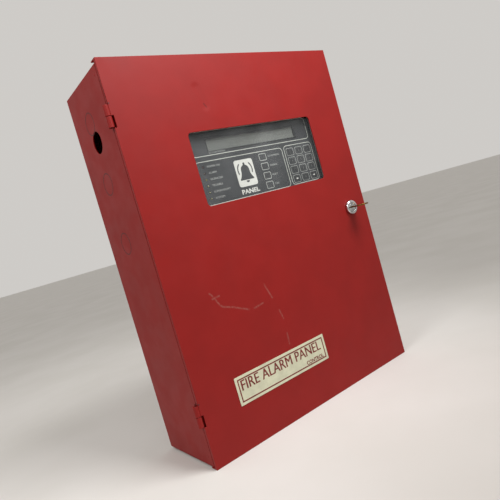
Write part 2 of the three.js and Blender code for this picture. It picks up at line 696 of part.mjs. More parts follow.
function makeLockNut() {
  const front = DOOR_SHEET + FACE_GAP;
  const nut = hexagon(LOCK_BARREL_DIAMETER + 2 * LOCK_NUT_WALL);
  nut.holes.push(circle(LOCK_BARREL_DIAMETER / 2 + FIT_GAP, 0, 0, THREE.Path));
  return piece("lock_nut", extrudeY(nut, front, front + LOCK_NUT_THICKNESS, ROUND_SIDES), ZINC);
}

/** The turning plug: a keyway from the front, and a tail that carries the cam and its screw. */
function makeLockPlug() {
  const front = -FACE_GAP - LOCK_HEAD_HEIGHT + PLUG_RECESS;
  const halfWay = KEY_BLADE_WIDTH / 2 + FIT_GAP;
  const halfSlot = KEY_THICKNESS / 2 + FIT_GAP;
  const joined = [
    barY(PLUG_DIAMETER / 2, front, plugBack),
    barY(PLUG_TAIL_DIAMETER / 2, plugBack - OVERCUT, camBack, 0, 0, SMALL_ROUND_SIDES),
  ];
  const tapped = CAM_SCREW_DIAMETER / 2 + FIT_GAP;
  const cut = [
    slab(-halfWay, halfWay, front - OVERCUT, KEYWAY_DEPTH, -halfSlot, halfSlot),
    barY(tapped, camBack - CAM_SCREW_LENGTH, camBack + OVERCUT, 0, 0, SMALL_ROUND_SIDES),
  ];
  return piece("lock_plug", combine(joined, cut), CHROME);
}

/** The cam: a flat bar on the plug's tail, bent forward so that its end catches behind the box's lip. */
function makeLockCam() {
  const tipFront = BOX_SETBACK + BOX_SHEET + CAM_BEHIND_LIP;
  const tipBack = tipFront + CAM_THICKNESS;
  const bendEnd = CAM_JOGGLE_START + CAM_JOGGLE_LENGTH;
  const side = outline([
    [camFront, -CAM_HEEL],
    [camBack, -CAM_HEEL],
    [camBack, CAM_JOGGLE_START + CAM_THICKNESS / 2],
    [tipBack, bendEnd + CAM_THICKNESS / 2],
    [tipBack, CAM_REACH],
    [tipFront, CAM_REACH],
    [tipFront, bendEnd],
    [camFront, CAM_JOGGLE_START],
  ]);
  const hole = barY(PLUG_TAIL_DIAMETER / 2 + FIT_GAP, camFront - OVERCUT, camBack + OVERCUT);
  return piece("lock_cam", combine([extrudeX(side, -CAM_WIDTH / 2, CAM_WIDTH / 2)], [hole]), ZINC);
}

function makeLockCamScrew() {
  const seat = camBack + FIT_GAP;
  const shank = CAM_SCREW_DIAMETER / 2;
  const head = CAM_SCREW_HEAD_DIAMETER / 2;
  const end = seat - CAM_SCREW_LENGTH + OVERCUT;
  const top = seat + CAM_SCREW_HEAD_HEIGHT;
  const profile = [
    [0, end],
    [shank, end],
    [shank, seat],
    [head, seat],
    [head, top - CAM_SCREW_HEAD_BEVEL],
    [head - CAM_SCREW_HEAD_BEVEL, top],
    [0, top],
  ];
  return piece("lock_cam_screw", turned(profile, SMALL_ROUND_SIDES), ZINC);
}

/** The key, lying flat: a blade with bitting along one edge, a collar, and a round bow with a hole. */
function makeKey() {
  const half = KEY_BLADE_WIDTH / 2;
  const collar = KEY_COLLAR_WIDTH / 2;
  const collarBack = -FACE_GAP - LOCK_HEAD_HEIGHT - FIT_GAP;
  const bowCentre = -KEY_TIP_OUT + KEY_BOW_RADIUS;
  const neckAngle = Math.asin(collar / KEY_BOW_RADIUS);
  const shape = new THREE.Shape();
  shape.moveTo(half, collarBack);
  const bittingStart = KEY_BLADE_DEPTH - (KEY_BITTING.length + 1) * KEY_BITTING_PITCH;
  KEY_BITTING.forEach((depth, i) => {
    const y = bittingStart + i * KEY_BITTING_PITCH;
    shape.lineTo(half, y);
    shape.lineTo(half - depth, y + KEY_BITTING_PITCH / 2);
    shape.lineTo(half, y + KEY_BITTING_PITCH * KEY_NOTCH_SHARE);
  });
  shape.lineTo(half / 2, KEY_BLADE_DEPTH);
  shape.lineTo(-half / 2, KEY_BLADE_DEPTH);
  shape.lineTo(-half, KEY_BLADE_DEPTH - half / 2);
  shape.lineTo(-half, collarBack);
  shape.lineTo(-collar, collarBack);
  shape.absarc(0, bowCentre, KEY_BOW_RADIUS, Math.PI / 2 + neckAngle, Math.PI / 2 - neckAngle + 2 * Math.PI);
  shape.lineTo(collar, collarBack);
  shape.closePath();
  const ringHole = -KEY_TIP_OUT + 2 * KEY_BOW_HOLE_RADIUS;
  shape.holes.push(circle(KEY_BOW_HOLE_RADIUS, 0, ringHole, THREE.Path));
  return piece("key", extrudeZ(shape, -KEY_THICKNESS / 2, KEY_THICKNESS / 2), BRASS);
}

// ---- Display, in its own frame: X and Z from the window's centre, Y from the door's front face ----

function rowZ(row) {
  return KEYPAD_OFFSET_Z + ((KEY_ROWS - 1) / 2 - row) * KEY_PITCH_Z;
}

function digitPlaces() {
  const places = [];
  for (let row = 0; row < KEY_ROWS; row++) {
    for (let column = 0; column < KEY_COLUMNS; column++) {
      const x = KEYPAD_OFFSET_X + (column - (KEY_COLUMNS - 1) / 2) * KEY_PITCH_X;
      places.push([x, rowZ(row)]);
    }
  }
  return places;
}

function functionPlaces() {
  return Array.from({ length: KEY_ROWS }, (_, row) => [FUNCTION_OFFSET_X, rowZ(row)]);
}

function ledPlaces() {
  const top = LED_OFFSET_Z + ((LED_COUNT - 1) / 2) * LED_PITCH;
  return Array.from({ length: LED_COUNT }, (_, i) => [LED_OFFSET_X, top - i * LED_PITCH]);
}

/** A cap's opening in the faceplate. */
function capOpening([x, z], width, height) {
  const clearance = 2 * CAP_CLEARANCE;
  return roundedRect(width + clearance, height + clearance, CAP_CORNER + CAP_CLEARANCE, x, z, THREE.Path);
}

/** Four places near the corners of a rectangle, inset by the same amount. */
function cornerPlaces(width, height, inset) {
  const x = width / 2 - inset;
  const z = height / 2 - inset;
  return [[-x, -z], [x, -z], [x, z], [-x, z]];
}

function makeFaceplate() {
  const sheet = roundedRect(faceplateWidth, faceplateHeight, FACEPLATE_CORNER);
  const view = roundedRect(LCD_VIEW_WIDTH, LCD_VIEW_HEIGHT, LCD_VIEW_CORNER, LCD_OFFSET_X, LCD_OFFSET_Z,
    THREE.Path);
  sheet.holes.push(view);
  for (const place of digitPlaces()) {
    sheet.holes.push(capOpening(place, KEY_CAP_WIDTH, KEY_CAP_HEIGHT));
  }
  for (const place of functionPlaces()) {
    sheet.holes.push(capOpening(place, FUNCTION_CAP_WIDTH, FUNCTION_CAP_HEIGHT));
  }
  for (const [x, z] of ledPlaces()) {
    sheet.holes.push(circle(LED_DIAMETER / 2 + FIT_GAP, x, z, THREE.Path));
  }
  const standoffs = cornerPlaces(boardWidth, boardHeight, STANDOFF_INSET).map(([x, z]) =>
    barY(STANDOFF_DIAMETER / 2, faceplateBack - FACEPLATE_THICKNESS / 2, boardFront - FACE_GAP, x, z,
      SMALL_ROUND_SIDES));
  const plate = extrudeY(sheet, DISPLAY_RECESS, faceplateBack);
  return piece("faceplate", combine([plate, ...standoffs]), GREY_OVERLAY);
}

/** The display board, with a switch under each cap and a ribbon header at its lower edge. */
function makeDisplayBoard() {
  const half = SWITCH_WIDTH / 2;
  const x1 = boardWidth / 2;
  const z1 = boardHeight / 2;
  const joined = [slab(-x1, x1, boardFront, boardBack, -z1, z1)];
  for (const [x, z] of [...digitPlaces(), ...functionPlaces()]) {
    const switchFront = boardFront - SWITCH_HEIGHT;
    joined.push(slab(x - half, x + half, switchFront, boardFront + BOARD_THICKNESS / 2, z - half, z + half));
  }
  return piece("display_board", combine(joined), BOARD_GREEN);
}

/** A button: a rounded cap, a flange that the faceplate holds back, and a stem over its switch. */
function makeButton(name, [x, z], width, height) {
  const front = DISPLAY_RECESS - CAP_PROUD;
  const flangeFront = faceplateBack + FIT_GAP;
  const flangeBack = flangeFront + CAP_FLANGE_THICKNESS;
  const stemBack = boardFront - SWITCH_HEIGHT - BUTTON_TRAVEL - FIT_GAP / 2;
  const flangeX = width / 2 + CAP_FLANGE_RIM;
  const flangeZ = height / 2 + CAP_FLANGE_RIM;
  const stem = CAP_STEM_WIDTH / 2;
  const geometry = combine([
    extrudeY(roundedRect(width, height, CAP_CORNER), front, flangeBack),
    slab(-flangeX, flangeX, flangeFront, flangeBack, -flangeZ, flangeZ),
    slab(-stem, stem, flangeFront, stemBack, -stem, stem),
  ]);
  const button = piece(name, geometry, DARK_KEY);
  button.position.set(x, 0, z);
  return button;
}

function makeButtons() {
  const digitNames = ["1", "2", "3", "4", "5", "6", "7", "8", "9", "left", "0", "right"];
  const digits = digitPlaces().map((place, i) =>
    makeButton(`key_${digitNames[i]}`, place, KEY_CAP_WIDTH, KEY_CAP_HEIGHT));
  const functions = functionPlaces().map((place, i) =>
    makeButton(`function_button_${i + 1}`, place, FUNCTION_CAP_WIDTH, FUNCTION_CAP_HEIGHT));
  return [...digits, ...functions];
}

/** An indicator: a domed lens on a holder that stands on the display board. */
function makeLed(index, [x, z]) {
  const lens = LED_DIAMETER / 2;
  const holder = LED_HOLDER_DIAMETER / 2;
  const tip = DISPLAY_RECESS - LED_PROUD;
  const shoulder = faceplateBack + FIT_GAP;
  const base = boardFront - FACE_GAP;
  const profile = [
    [0, tip],
    [lens * Math.SQRT1_2, tip + lens * (1 - Math.SQRT1_2)],
    [lens, tip + lens],
    [lens, shoulder],
    [holder, shoulder],
    [holder, base],
    [0, base],
  ];
  const look = index < RED_LED_COUNT ? RED_LAMP : GREEN_LAMP;
  const led = piece(`led_${index + 1}`, turned(profile, SMALL_ROUND_SIDES), look);
  led.position.set(x, 0, z);
  return led;
}

const lcdFront = faceplateBack + FIT_GAP;
const lcdGlassFront = lcdFront + LCD_BEZEL_FACE + FACE_GAP;
const lcdBoardFront = lcdFront + LCD_BEZEL_DEPTH;

/** The liquid-crystal module: a bezel open at the front, on a small board of its own. */
function makeLcdModule() {
  const width = LCD_VIEW_WIDTH + 2 * LCD_BEZEL_RIM;
  const height = LCD_VIEW_HEIGHT + 2 * LCD_BEZEL_RIM;
  const boardW = LCD_VIEW_WIDTH + 2 * LCD_BOARD_RIM;
  const boardH = LCD_VIEW_HEIGHT + 2 * LCD_BEZEL_RIM + FIT_GAP * 2;
  const pocketX = LCD_VIEW_WIDTH / 2 + LCD_GLASS_RIM + FIT_GAP;
  const pocketZ = LCD_VIEW_HEIGHT / 2 + LCD_GLASS_RIM + FIT_GAP;
  const pocketBack = lcdGlassFront + LCD_GLASS_THICKNESS + FIT_GAP;
  const viewX = LCD_VIEW_WIDTH / 2;
  const viewZ = LCD_VIEW_HEIGHT / 2;
  const boardEnd = lcdBoardFront + BOARD_THICKNESS;
  const joined = [
    slab(-width / 2, width / 2, lcdFront, lcdBoardFront + OVERCUT / 2, -height / 2, height / 2),
    slab(-boardW / 2, boardW / 2, lcdBoardFront, boardEnd, -boardH / 2, boardH / 2),
  ];
  const cut = [
    slab(-pocketX, pocketX, lcdFront + LCD_BEZEL_FACE, pocketBack, -pocketZ, pocketZ),
    slab(-viewX, viewX, lcdFront - OVERCUT, lcdFront + LCD_BEZEL_FACE + OVERCUT, -viewZ, viewZ),
  ];
  const module = piece("lcd_module", combine(joined, cut), BLACK_PLASTIC);
  module.position.set(LCD_OFFSET_X, 0, LCD_OFFSET_Z);
  return module;
}

function makeLcdGlass() {
  const x = LCD_VIEW_WIDTH / 2 + LCD_GLASS_RIM;
  const z = LCD_VIEW_HEIGHT / 2 + LCD_GLASS_RIM;
  const back = lcdGlassFront + LCD_GLASS_THICKNESS;
  const glass = piece("lcd_glass", slab(-x, x, lcdGlassFront, back, -z, z), LCD_GREY);
  glass.position.set(LCD_OFFSET_X, 0, LCD_OFFSET_Z);
  return glass;
}

/** The folded bracket that stands on the chassis plate and carries the display on four pillars. */
function makeDisplayBracket() {
  const x = CHASSIS_WIDTH / 2;
  const left = Math.min(-x, displayX - faceplateWidth / 2);
  const right = Math.max(x, displayX + faceplateWidth / 2);
  const sheet = BRACKET_SHEET;
  const back = chassisFront - FACE_GAP;
  const joined = [slab(left, right, bracketFront, bracketFront + sheet, bracketBottom, bracketTop)];
  for (const side of [-1, 1]) {
    const outer = side * x;
    const inner = side * (x - sheet);
    const footEnd = side * (x - BRACKET_FOOT);
    const [legLow, legHigh] = [Math.min(outer, inner), Math.max(outer, inner)];
    const [footLow, footHigh] = [Math.min(outer, footEnd), Math.max(outer, footEnd)];
    joined.push(slab(legLow, legHigh, bracketFront, back, bracketBottom, bracketTop));
    joined.push(slab(footLow, footHigh, back - sheet, back, bracketBottom, bracketTop));
  }
  for (const [px, pz] of cornerPlaces(faceplateWidth, faceplateHeight, PILLAR_INSET)) {
    const front = doorFront + faceplateBack + FACE_GAP;
    const pillar = barY(PILLAR_DIAMETER / 2, front, bracketFront + sheet / 2, displayX + px, displayZ + pz,
      SMALL_ROUND_SIDES);
    joined.push(pillar);
  }
  return piece("display_bracket", combine(joined), ZINC);
}

// ---- Chassis plate and electronics ----

/** Where a board's standoffs stand, from its centre and size. */
function boardStandoffPlaces(x, z, width, height) {
  return cornerPlaces(width, height, STANDOFF_INSET).map(([dx, dz]) => [x + dx, z + dz]);
}

const mainBoardZ = (mainBoardTop + mainBoardBottom) / 2;
const mainBoardHeight = mainBoardTop - mainBoardBottom;

function makeChassisPlate() {
  const x = CHASSIS_WIDTH / 2;
  const back = chassisFront + CHASSIS_SHEET;
  const joined = [slab(-x, x, chassisFront, back, chassisBottom, chassisTop)];
  const standoffs = [
    ...boardStandoffPlaces(0, mainBoardZ, mainBoardWidth, mainBoardHeight),
    ...boardStandoffPlaces(0, displayZ, POWER_BOARD_WIDTH, powerBoardHeight),
  ];
  const standoffFront = electronicsBack + FACE_GAP;
  const standoffRoot = chassisFront + CHASSIS_SHEET / 2;
  for (const [sx, sz] of standoffs) {
    joined.push(barY(STANDOFF_DIAMETER / 2, standoffFront, standoffRoot, sx, sz, SMALL_ROUND_SIDES));
  }
  const holeRadius = CHASSIS_STUD_DIAMETER / 2 + FIT_GAP;
  const holes = chassisStudPlaces().map(([sx, sz]) =>
    barY(holeRadius, chassisFront - OVERCUT, back + OVERCUT, sx, sz, SMALL_ROUND_SIDES));
  return piece("chassis_plate", combine(joined, holes), ZINC);
}

/** The main board, with the header that takes the ribbon. */
function makeMainBoard() {
  const x = mainBoardWidth / 2;
  const headerTop = mainBoardTop - BOARD_MARGIN;
  const headerFront = electronicsFront - RIBBON_HEADER_DEPTH;
  const board = slab(-x, x, electronicsFront, electronicsBack, mainBoardBottom, mainBoardTop);
  const half = RIBBON_WIDTH / 2;
  const header = slab(-half, half, headerFront, electronicsFront + BOARD_THICKNESS / 2,
    headerTop - RIBBON_HEADER_HEIGHT, headerTop);
  return piece("main_board", combine([board, header]), BOARD_GREEN);
}

/** A stepped strip of screw terminals with a wall between neighbours, its lower left corner at (x, z). */
function terminalStrip(x, z, length, front, back, height, pitch) {
  const poles = Math.floor((length - TERMINAL_WALL) / pitch);
  const width = poles * pitch + TERMINAL_WALL;
  const stepFront = front + TERMINAL_STEP;
  const joined = [
    slab(x, x + width, stepFront, back, z, z + height),
    slab(x, x + width, front, back, z + height - TERMINAL_STEP, z + height),
  ];
  for (let i = 0; i <= poles; i++) {
    const left = x + i * pitch;
    joined.push(slab(left, left + TERMINAL_WALL, front, back, z, z + height));
  }
  return combine(joined);
}

const stripFront = electronicsFront - FACE_GAP - TERMINAL_DEPTH;
const stripBack = electronicsFront - FACE_GAP;
const stripLength = (mainBoardWidth - 3 * BOARD_MARGIN) / 2;
const stripBottom = mainBoardBottom + 2 * STANDOFF_INSET;

function makeTerminalStrip(name, x) {
  const strip = terminalStrip(x, stripBottom, stripLength, stripFront, stripBack, TERMINAL_HEIGHT,
    TERMINAL_PITCH);
  return piece(name, strip, BLACK_PLASTIC);
}

function makeProcessorChip() {
  const half = CHIP_WIDTH / 2;
  const z = mainBoardZ;
  const square = outline([
    [-half, z - half],
    [half, z - half],
    [half, z + half - CHIP_CHAMFER],
    [half - CHIP_CHAMFER, z + half],
    [-half, z + half],
  ]);
  const back = electronicsFront - FACE_GAP;
  return piece("processor_chip", extrudeY(square, back - CHIP_THICKNESS, back), BLACK_PLASTIC);
}

function makePowerBoard() {
  const x = POWER_BOARD_WIDTH / 2;
  const z = powerBoardHeight / 2;
  const board = slab(-x, x, electronicsFront, electronicsBack, displayZ - z, displayZ + z);
  return piece("power_board", board, BOARD_GREEN);
}

/** A comb-shaped extrusion, its fins standing away from the board. */
function makeHeatSink() {
  const back = electronicsFront - FACE_GAP;
  const front = back - HEAT_SINK_DEPTH;
  const left = POWER_BOARD_WIDTH / 2 - 2 * STANDOFF_INSET - HEAT_SINK_WIDTH;
  const gap = (HEAT_SINK_WIDTH - HEAT_SINK_FINS * HEAT_SINK_FIN_THICKNESS) / (HEAT_SINK_FINS - 1);
  const points = [[left, back]];
  for (let i = 0; i < HEAT_SINK_FINS; i++) {
    const finLeft = left + i * (HEAT_SINK_FIN_THICKNESS + gap);
    const finRight = finLeft + HEAT_SINK_FIN_THICKNESS;
    if (i > 0) {
      points.push([finLeft, back - HEAT_SINK_BASE]);
    }
    points.push([finLeft, front]);
    points.push([finRight, front]);
    if (i < HEAT_SINK_FINS - 1) {
      points.push([finRight, back - HEAT_SINK_BASE]);
    }
  }
  points.push([left + HEAT_SINK_WIDTH, back]);
  const sink = extrudeZ(outline(points), displayZ - HEAT_SINK_HEIGHT / 2, displayZ + HEAT_SINK_HEIGHT / 2);
  return piece("heat_sink", sink, BLACK_PLASTIC);
}

function makeFilterCapacitor() {
  const radius = CAPACITOR_DIAMETER / 2;
  const back = electronicsFront - FACE_GAP;
  const front = back - CAPACITOR_LENGTH;
  const groove = radius - CAPACITOR_GROOVE;
  const profile = [
    [0, front],
    [radius - CAPACITOR_BEVEL, front],
    [radius, front + CAPACITOR_BEVEL],
    [radius, back - CAPACITOR_GROOVE_RISE - CAPACITOR_BEVEL],
    [groove, back - CAPACITOR_GROOVE_RISE],
    [radius, back - CAPACITOR_GROOVE_RISE + CAPACITOR_BEVEL],
    [radius, back],
    [0, back],
  ];
  const can = piece("filter_capacitor", turned(profile), BLACK_PLASTIC);
  can.position.set(-POWER_BOARD_WIDTH / 4, 0, displayZ);
  return can;
}

/** The mains transformer: a laminated core with feet, and a coil that stands out of both faces. */
function makeTransformer() {
  const x = TRANSFORMER_WIDTH / 2;
  const z = TRANSFORMER_HEIGHT / 2;
  const coilX = TRANSFORMER_COIL_WIDTH / 2;
  const coilZ = TRANSFORMER_COIL_HEIGHT / 2;
  const back = chassisFront - FACE_GAP;
  const coreBack = back - (TRANSFORMER_COIL_DEPTH - TRANSFORMER_STACK) / 2;
  const coreFront = coreBack - TRANSFORMER_STACK;
  const foot = x + TRANSFORMER_FOOT;
  const band = BRACKET_SHEET;
  const joined = [
    slab(-x, x, coreFront, coreBack, -z, z),
    slab(-coilX, coilX, back - TRANSFORMER_COIL_DEPTH, back - FIT_GAP, -coilZ, coilZ),
    slab(-foot, foot, back - band, back, -z / 2, z / 2),
    slab(-x - band, -x + FIT_GAP, coreFront - band, back, -z / 2, z / 2),
    slab(x - FIT_GAP, x + band, coreFront - band, back, -z / 2, z / 2),
    slab(-x - band, x + band, coreFront - band, coreFront, -z / 2, z / 2),
  ];
  const transformer = piece("transformer", combine(joined), COPPER_COIL);
  transformer.position.set(transformerX, 0, topBayZ);
  return transformer;
}

function makeAcTerminalBlock() {
  const back = chassisFront - FACE_GAP;
  const x = acBlockX - acBlockWidth / 2;
  const z = topBayZ - AC_BLOCK_HEIGHT / 2;
  const length = acBlockWidth + TERMINAL_WALL;
  const block = terminalStrip(x, z, length, back - AC_BLOCK_DEPTH, back, AC_BLOCK_HEIGHT, AC_BLOCK_PITCH);
  return piece("ac_terminal_block", block, BLACK_PLASTIC);
}

const fuseY = chassisFront - FACE_GAP - FUSE_BASE_THICKNESS - FIT_GAP - FUSE_DIAMETER / 2;

/** The fuse holder: a base with a pair of upright fingers at each end of the fuse. */
function makeFuseHolder() {
  const back = chassisFront - FACE_GAP;
  const baseFront = back - FUSE_BASE_THICKNESS;
  const radius = FUSE_DIAMETER / 2;
  const halfLength = FUSE_LENGTH / 2 + FUSE_CLIP_WALL * 2;
  const halfWidth = radius + FIT_GAP + FUSE_CLIP_WALL;
  const joined = [slab(-halfLength, halfLength, baseFront, back, -halfWidth, halfWidth)];
  for (const end of [-1, 1]) {
    const clipX = (end * (FUSE_LENGTH - FUSE_CAP_LENGTH)) / 2;
    for (const side of [-1, 1]) {
      const wallZ = side * (radius + FIT_GAP + FUSE_CLIP_WALL / 2);
      const half = FUSE_CLIP_WALL / 2;
      joined.push(slab(clipX - FUSE_CLIP_WIDTH / 2, clipX + FUSE_CLIP_WIDTH / 2, fuseY - radius,
        baseFront + OVERCUT, wallZ - half, wallZ + half));
    }
  }
  const holder = piece("fuse_holder", combine(joined), BLACK_PLASTIC);
  holder.position.set(fuseX, 0, topBayZ);
  return holder;
}

function makeFuse() {
  const radius = FUSE_DIAMETER / 2;
  const tube = radius - FIT_GAP;
  const half = FUSE_LENGTH / 2;
  const inner = half - FUSE_CAP_LENGTH;
  const profile = [
    [0, -half],
    [radius, -half],
    [radius, -inner],
    [tube, -inner],
    [tube, inner],
    [radius, inner],
    [radius, half],
    [0, half],
  ];
  const fuse = piece("fuse", turned(profile, SMALL_ROUND_SIDES), CLEAR);
  fuse.rotation.z = Math.PI / 2;
  fuse.position.set(fuseX, fuseY, topBayZ);
  return fuse;
}

// ---- Standby batteries ----

/** The places of a battery's two tabs along its width. */
const tabOffset = BATTERY_WIDTH / 2 - BATTERY_TAB_INSET;
const batteryBack = -BOX_SHEET - BATTERY_FROM_WALL;
const batteryFront = batteryBack - BATTERY_DEPTH;
const batteryX = BATTERY_WIDTH / 2 + FIT_GAP / 2;
const tabY = batteryFront + BATTERY_TAB_INSET;

function makeBattery(name, x) {
  const half = BATTERY_WIDTH / 2;
  const inset = BATTERY_LID_INSET;
  const lidBottom = batteryTop - BATTERY_LID;
  const lidX = half - inset;
  const tab = BATTERY_TAB_WIDTH / 2;
  const tabThick = BATTERY_TAB_THICKNESS / 2;
  const joined = [
    slab(-half, half, batteryFront, batteryBack, batteryBottom, lidBottom),
    slab(-lidX, lidX, batteryFront + inset, batteryBack - inset, lidBottom - inset, batteryTop),
  ];
  for (const side of [-tabOffset, tabOffset]) {
    joined.push(slab(side - tab, side + tab, tabY - tabThick, tabY + tabThick, batteryTop - inset,
      batteryTop + BATTERY_TAB_HEIGHT));
  }
  const battery = piece(name, combine(joined), BATTERY_GREY);
  battery.position.set(x, 0, 0);
  return battery;
}

/** The strap across the batteries' fronts, with a tab at each end against the box's side wall. */
function makeBatteryBracket() {
  const x = boxRight - BOX_SHEET - FACE_GAP;
  const front = batteryFront - FIT_GAP - STRAP_THICKNESS;
  const z0 = batteryBottom + STRAP_RISE;
  const z1 = z0 + STRAP_WIDTH;
  const tabInner = x - STRAP_THICKNESS;
  const tabBack = front + STRAP_TAB;
  const strap = slab(-x, x, front, front + STRAP_THICKNESS, z0, z1);
  const leftTab = slab(-x, -tabInner, front, tabBack, z0, z1);
  const rightTab = slab(tabInner, x, front, tabBack, z0, z1);
  return piece("battery_bracket", combine([strap, leftTab, rightTab]), ZINC);
}

// ---- Leads ----

/** A round lead through the given points. */
function lead(name, points, look) {
  const path = new THREE.CatmullRomCurve3(points.map((point) => new THREE.Vector3(...point)));
  const section = circle(LEAD_DIAMETER / 2);
  const options = { steps: LEAD_STEPS, curveSegments: LEAD_SIDES / 2, extrudePath: path };
  return piece(name, new THREE.ExtrudeGeometry(section, options), look);
}

const leadStart = batteryTop + BATTERY_TAB_HEIGHT + LEAD_DIAMETER / 2;
const stripLeft = -mainBoardWidth / 2 + BOARD_MARGIN;
const stripPoleY = stripFront + TERMINAL_STEP / 2;

/** A lead from a battery's tab up to one pole of the left terminal strip. */
function makeBatteryLead(name, tabX, pole, sideways, look) {
  const poleX = stripLeft + TERMINAL_WALL + (pole + 0.5) * TERMINAL_PITCH - TERMINAL_WALL / 2;
  const end = stripBottom - FIT_GAP;
  const middle = (leadStart + end) / 2;
  return lead(name, [
    [tabX, tabY, leadStart],
    [tabX + sideways, tabY - LEAD_DIAMETER, middle],
    [poleX, stripPoleY - LEAD_DIAMETER, middle + LEAD_DIAMETER],
    [poleX, stripPoleY, end],
  ], look);
}

/** The link between the two batteries' inner tabs. */
function makeBatteryJumper() {
  const inner = batteryX - tabOffset;
  const rise = leadStart + 2 * LEAD_DIAMETER;
  return lead("battery_jumper", [
    [-inner, tabY, leadStart],
    [-inner / 2, tabY, rise],
    [inner / 2, tabY, rise],
    [inner, tabY, leadStart],
  ], BLACK_LEAD);
}

/** The flat cable from the display board's back, down to the main board's header. */
function makeRibbonCable() {
  const startY = doorFront + boardBack + FIT_GAP + RIBBON_THICKNESS / 2;
  const start = new THREE.Vector2(startY, displayZ - boardHeight / 2 + BOARD_MARGIN);
  const headerZ = mainBoardTop - BOARD_MARGIN - RIBBON_HEADER_HEIGHT / 2;
  const end = new THREE.Vector2(electronicsFront - RIBBON_HEADER_DEPTH - FIT_GAP, headerZ);
  const slack = (end.x - start.x) / 2;
  const drop = new THREE.Vector2(start.x, end.y);
  const reach = new THREE.Vector2(end.x - slack, end.y);
  const path = new THREE.CubicBezierCurve(start, drop, reach, end);
  const front = [];
  const behind = [];
  for (let i = 0; i <= RIBBON_STEPS; i++) {
    const point = path.getPoint(i / RIBBON_STEPS);
    const along = path.getTangent(i / RIBBON_STEPS);
    const half = RIBBON_THICKNESS / 2;
    front.push([point.x - along.y * half, point.y + along.x * half]);
    behind.unshift([point.x + along.y * half, point.y - along.x * half]);
  }
  const side = outline([...front, ...behind]);
  return piece("ribbon_cable", extrudeX(side, -RIBBON_WIDTH / 2, RIBBON_WIDTH / 2), RIBBON_GREY);
}

/** The earth stud on the back wall, between the batteries and the chassis plate, with its nut. */
function makeGroundStud() {
  const back = -BOX_SHEET - FACE_GAP;
  const stud = barY(GROUND_STUD_DIAMETER / 2, back - GROUND_STUD_LENGTH, back, 0, 0, SMALL_ROUND_SIDES);
  const nutBack = back - GROUND_NUT_THICKNESS;
  const nut = extrudeY(hexagon(GROUND_NUT_ACROSS), nutBack - GROUND_NUT_THICKNESS, nutBack);
  const base = extrudeY(hexagon(GROUND_NUT_ACROSS), back - OVERCUT, back);
  const ground = piece("ground_stud", combine([stud, nut, base]), BRASS);
  ground.position.set(boxLeft + KEYHOLE_INSET_X, 0, (batteryTop + chassisBottom) / 2);
  return ground;
}

// ---- The whole panel ----

const lockX = doorWidth / 2 - LOCK_INSET;
const lockZ = LOCK_ABOVE_MIDDLE;

const lock = assembly(lockX, 0, lockZ, [
  makeLockBody(),
  makeLockNut(),
  makeLockPlug(),
  makeLockCam(),
  makeLockCamScrew(),
  makeKey(),
]);
const doorWindow = assembly(windowX, 0, windowZ, [makeWindowPane(), makeWindowRetainer()]);
const door = assembly(doorX, doorFront, doorZ, [makeDoor(lockX, lockZ), makeDoorLabel(), doorWindow, lock]);
const display = assembly(displayX, doorFront, displayZ, [
  makeFaceplate(),
  makeDisplayBoard(),
  makeLcdModule(),
  makeLcdGlass(),
  ...makeButtons(),
  ...ledPlaces().map((place, i) => makeLed(i, place)),
]);
const electronics = assembly(0, 0, 0, [
  makeChassisPlate(),
  makeDisplayBracket(),
  makeMainBoard(),
  makeTerminalStrip("zone_terminal_strip", stripLeft),
  makeTerminalStrip("relay_terminal_strip", BOARD_MARGIN / 2),
  makeProcessorChip(),
  makePowerBoard(),
  makeHeatSink(),
  makeFilterCapacitor(),
  makeTransformer(),
  makeAcTerminalBlock(),
  makeFuseHolder(),
  makeFuse(),
  makeRibbonCable(),
]);
const outerTab = batteryX + tabOffset;
const supply = assembly(0, 0, 0, [
  makeBattery("battery_left", -batteryX),
  makeBattery("battery_right", batteryX),
  makeBatteryBracket(),
  makeBatteryLead("battery_lead_red", -outerTab, RED_LEAD_POLE, 0, RED_LEAD),
  makeBatteryLead("battery_lead_black", outerTab, BLACK_LEAD_POLE, -BATTERY_WIDTH / 2, BLACK_LEAD),
  makeBatteryJumper(),
]);
const cabinet = assembly(0, 0, 0, [
  makeBackBox(),
  makeHingePin("upper_hinge_pin", hingeSeams[0]),
  makeHingePin("lower_hinge_pin", hingeSeams[1]),
  makeGroundStud(),
]);

export default assembly(0, 0, 0, [cabinet, door, display, electronics, supply]);
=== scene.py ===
"""A wall-mounted fire alarm control panel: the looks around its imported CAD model.

Lengths are in millimetres until a mesh is made. +Z is up, +X is to the right of someone facing the
door, and the door faces -Y. Prints, board parts, screws and terminals are built here. The sheet metal,
boards and buttons are the CAD's own solids, with finer edges and materials.
"""

import math
import random

import bmesh
import bpy
from mathutils import Euler, Matrix, Vector


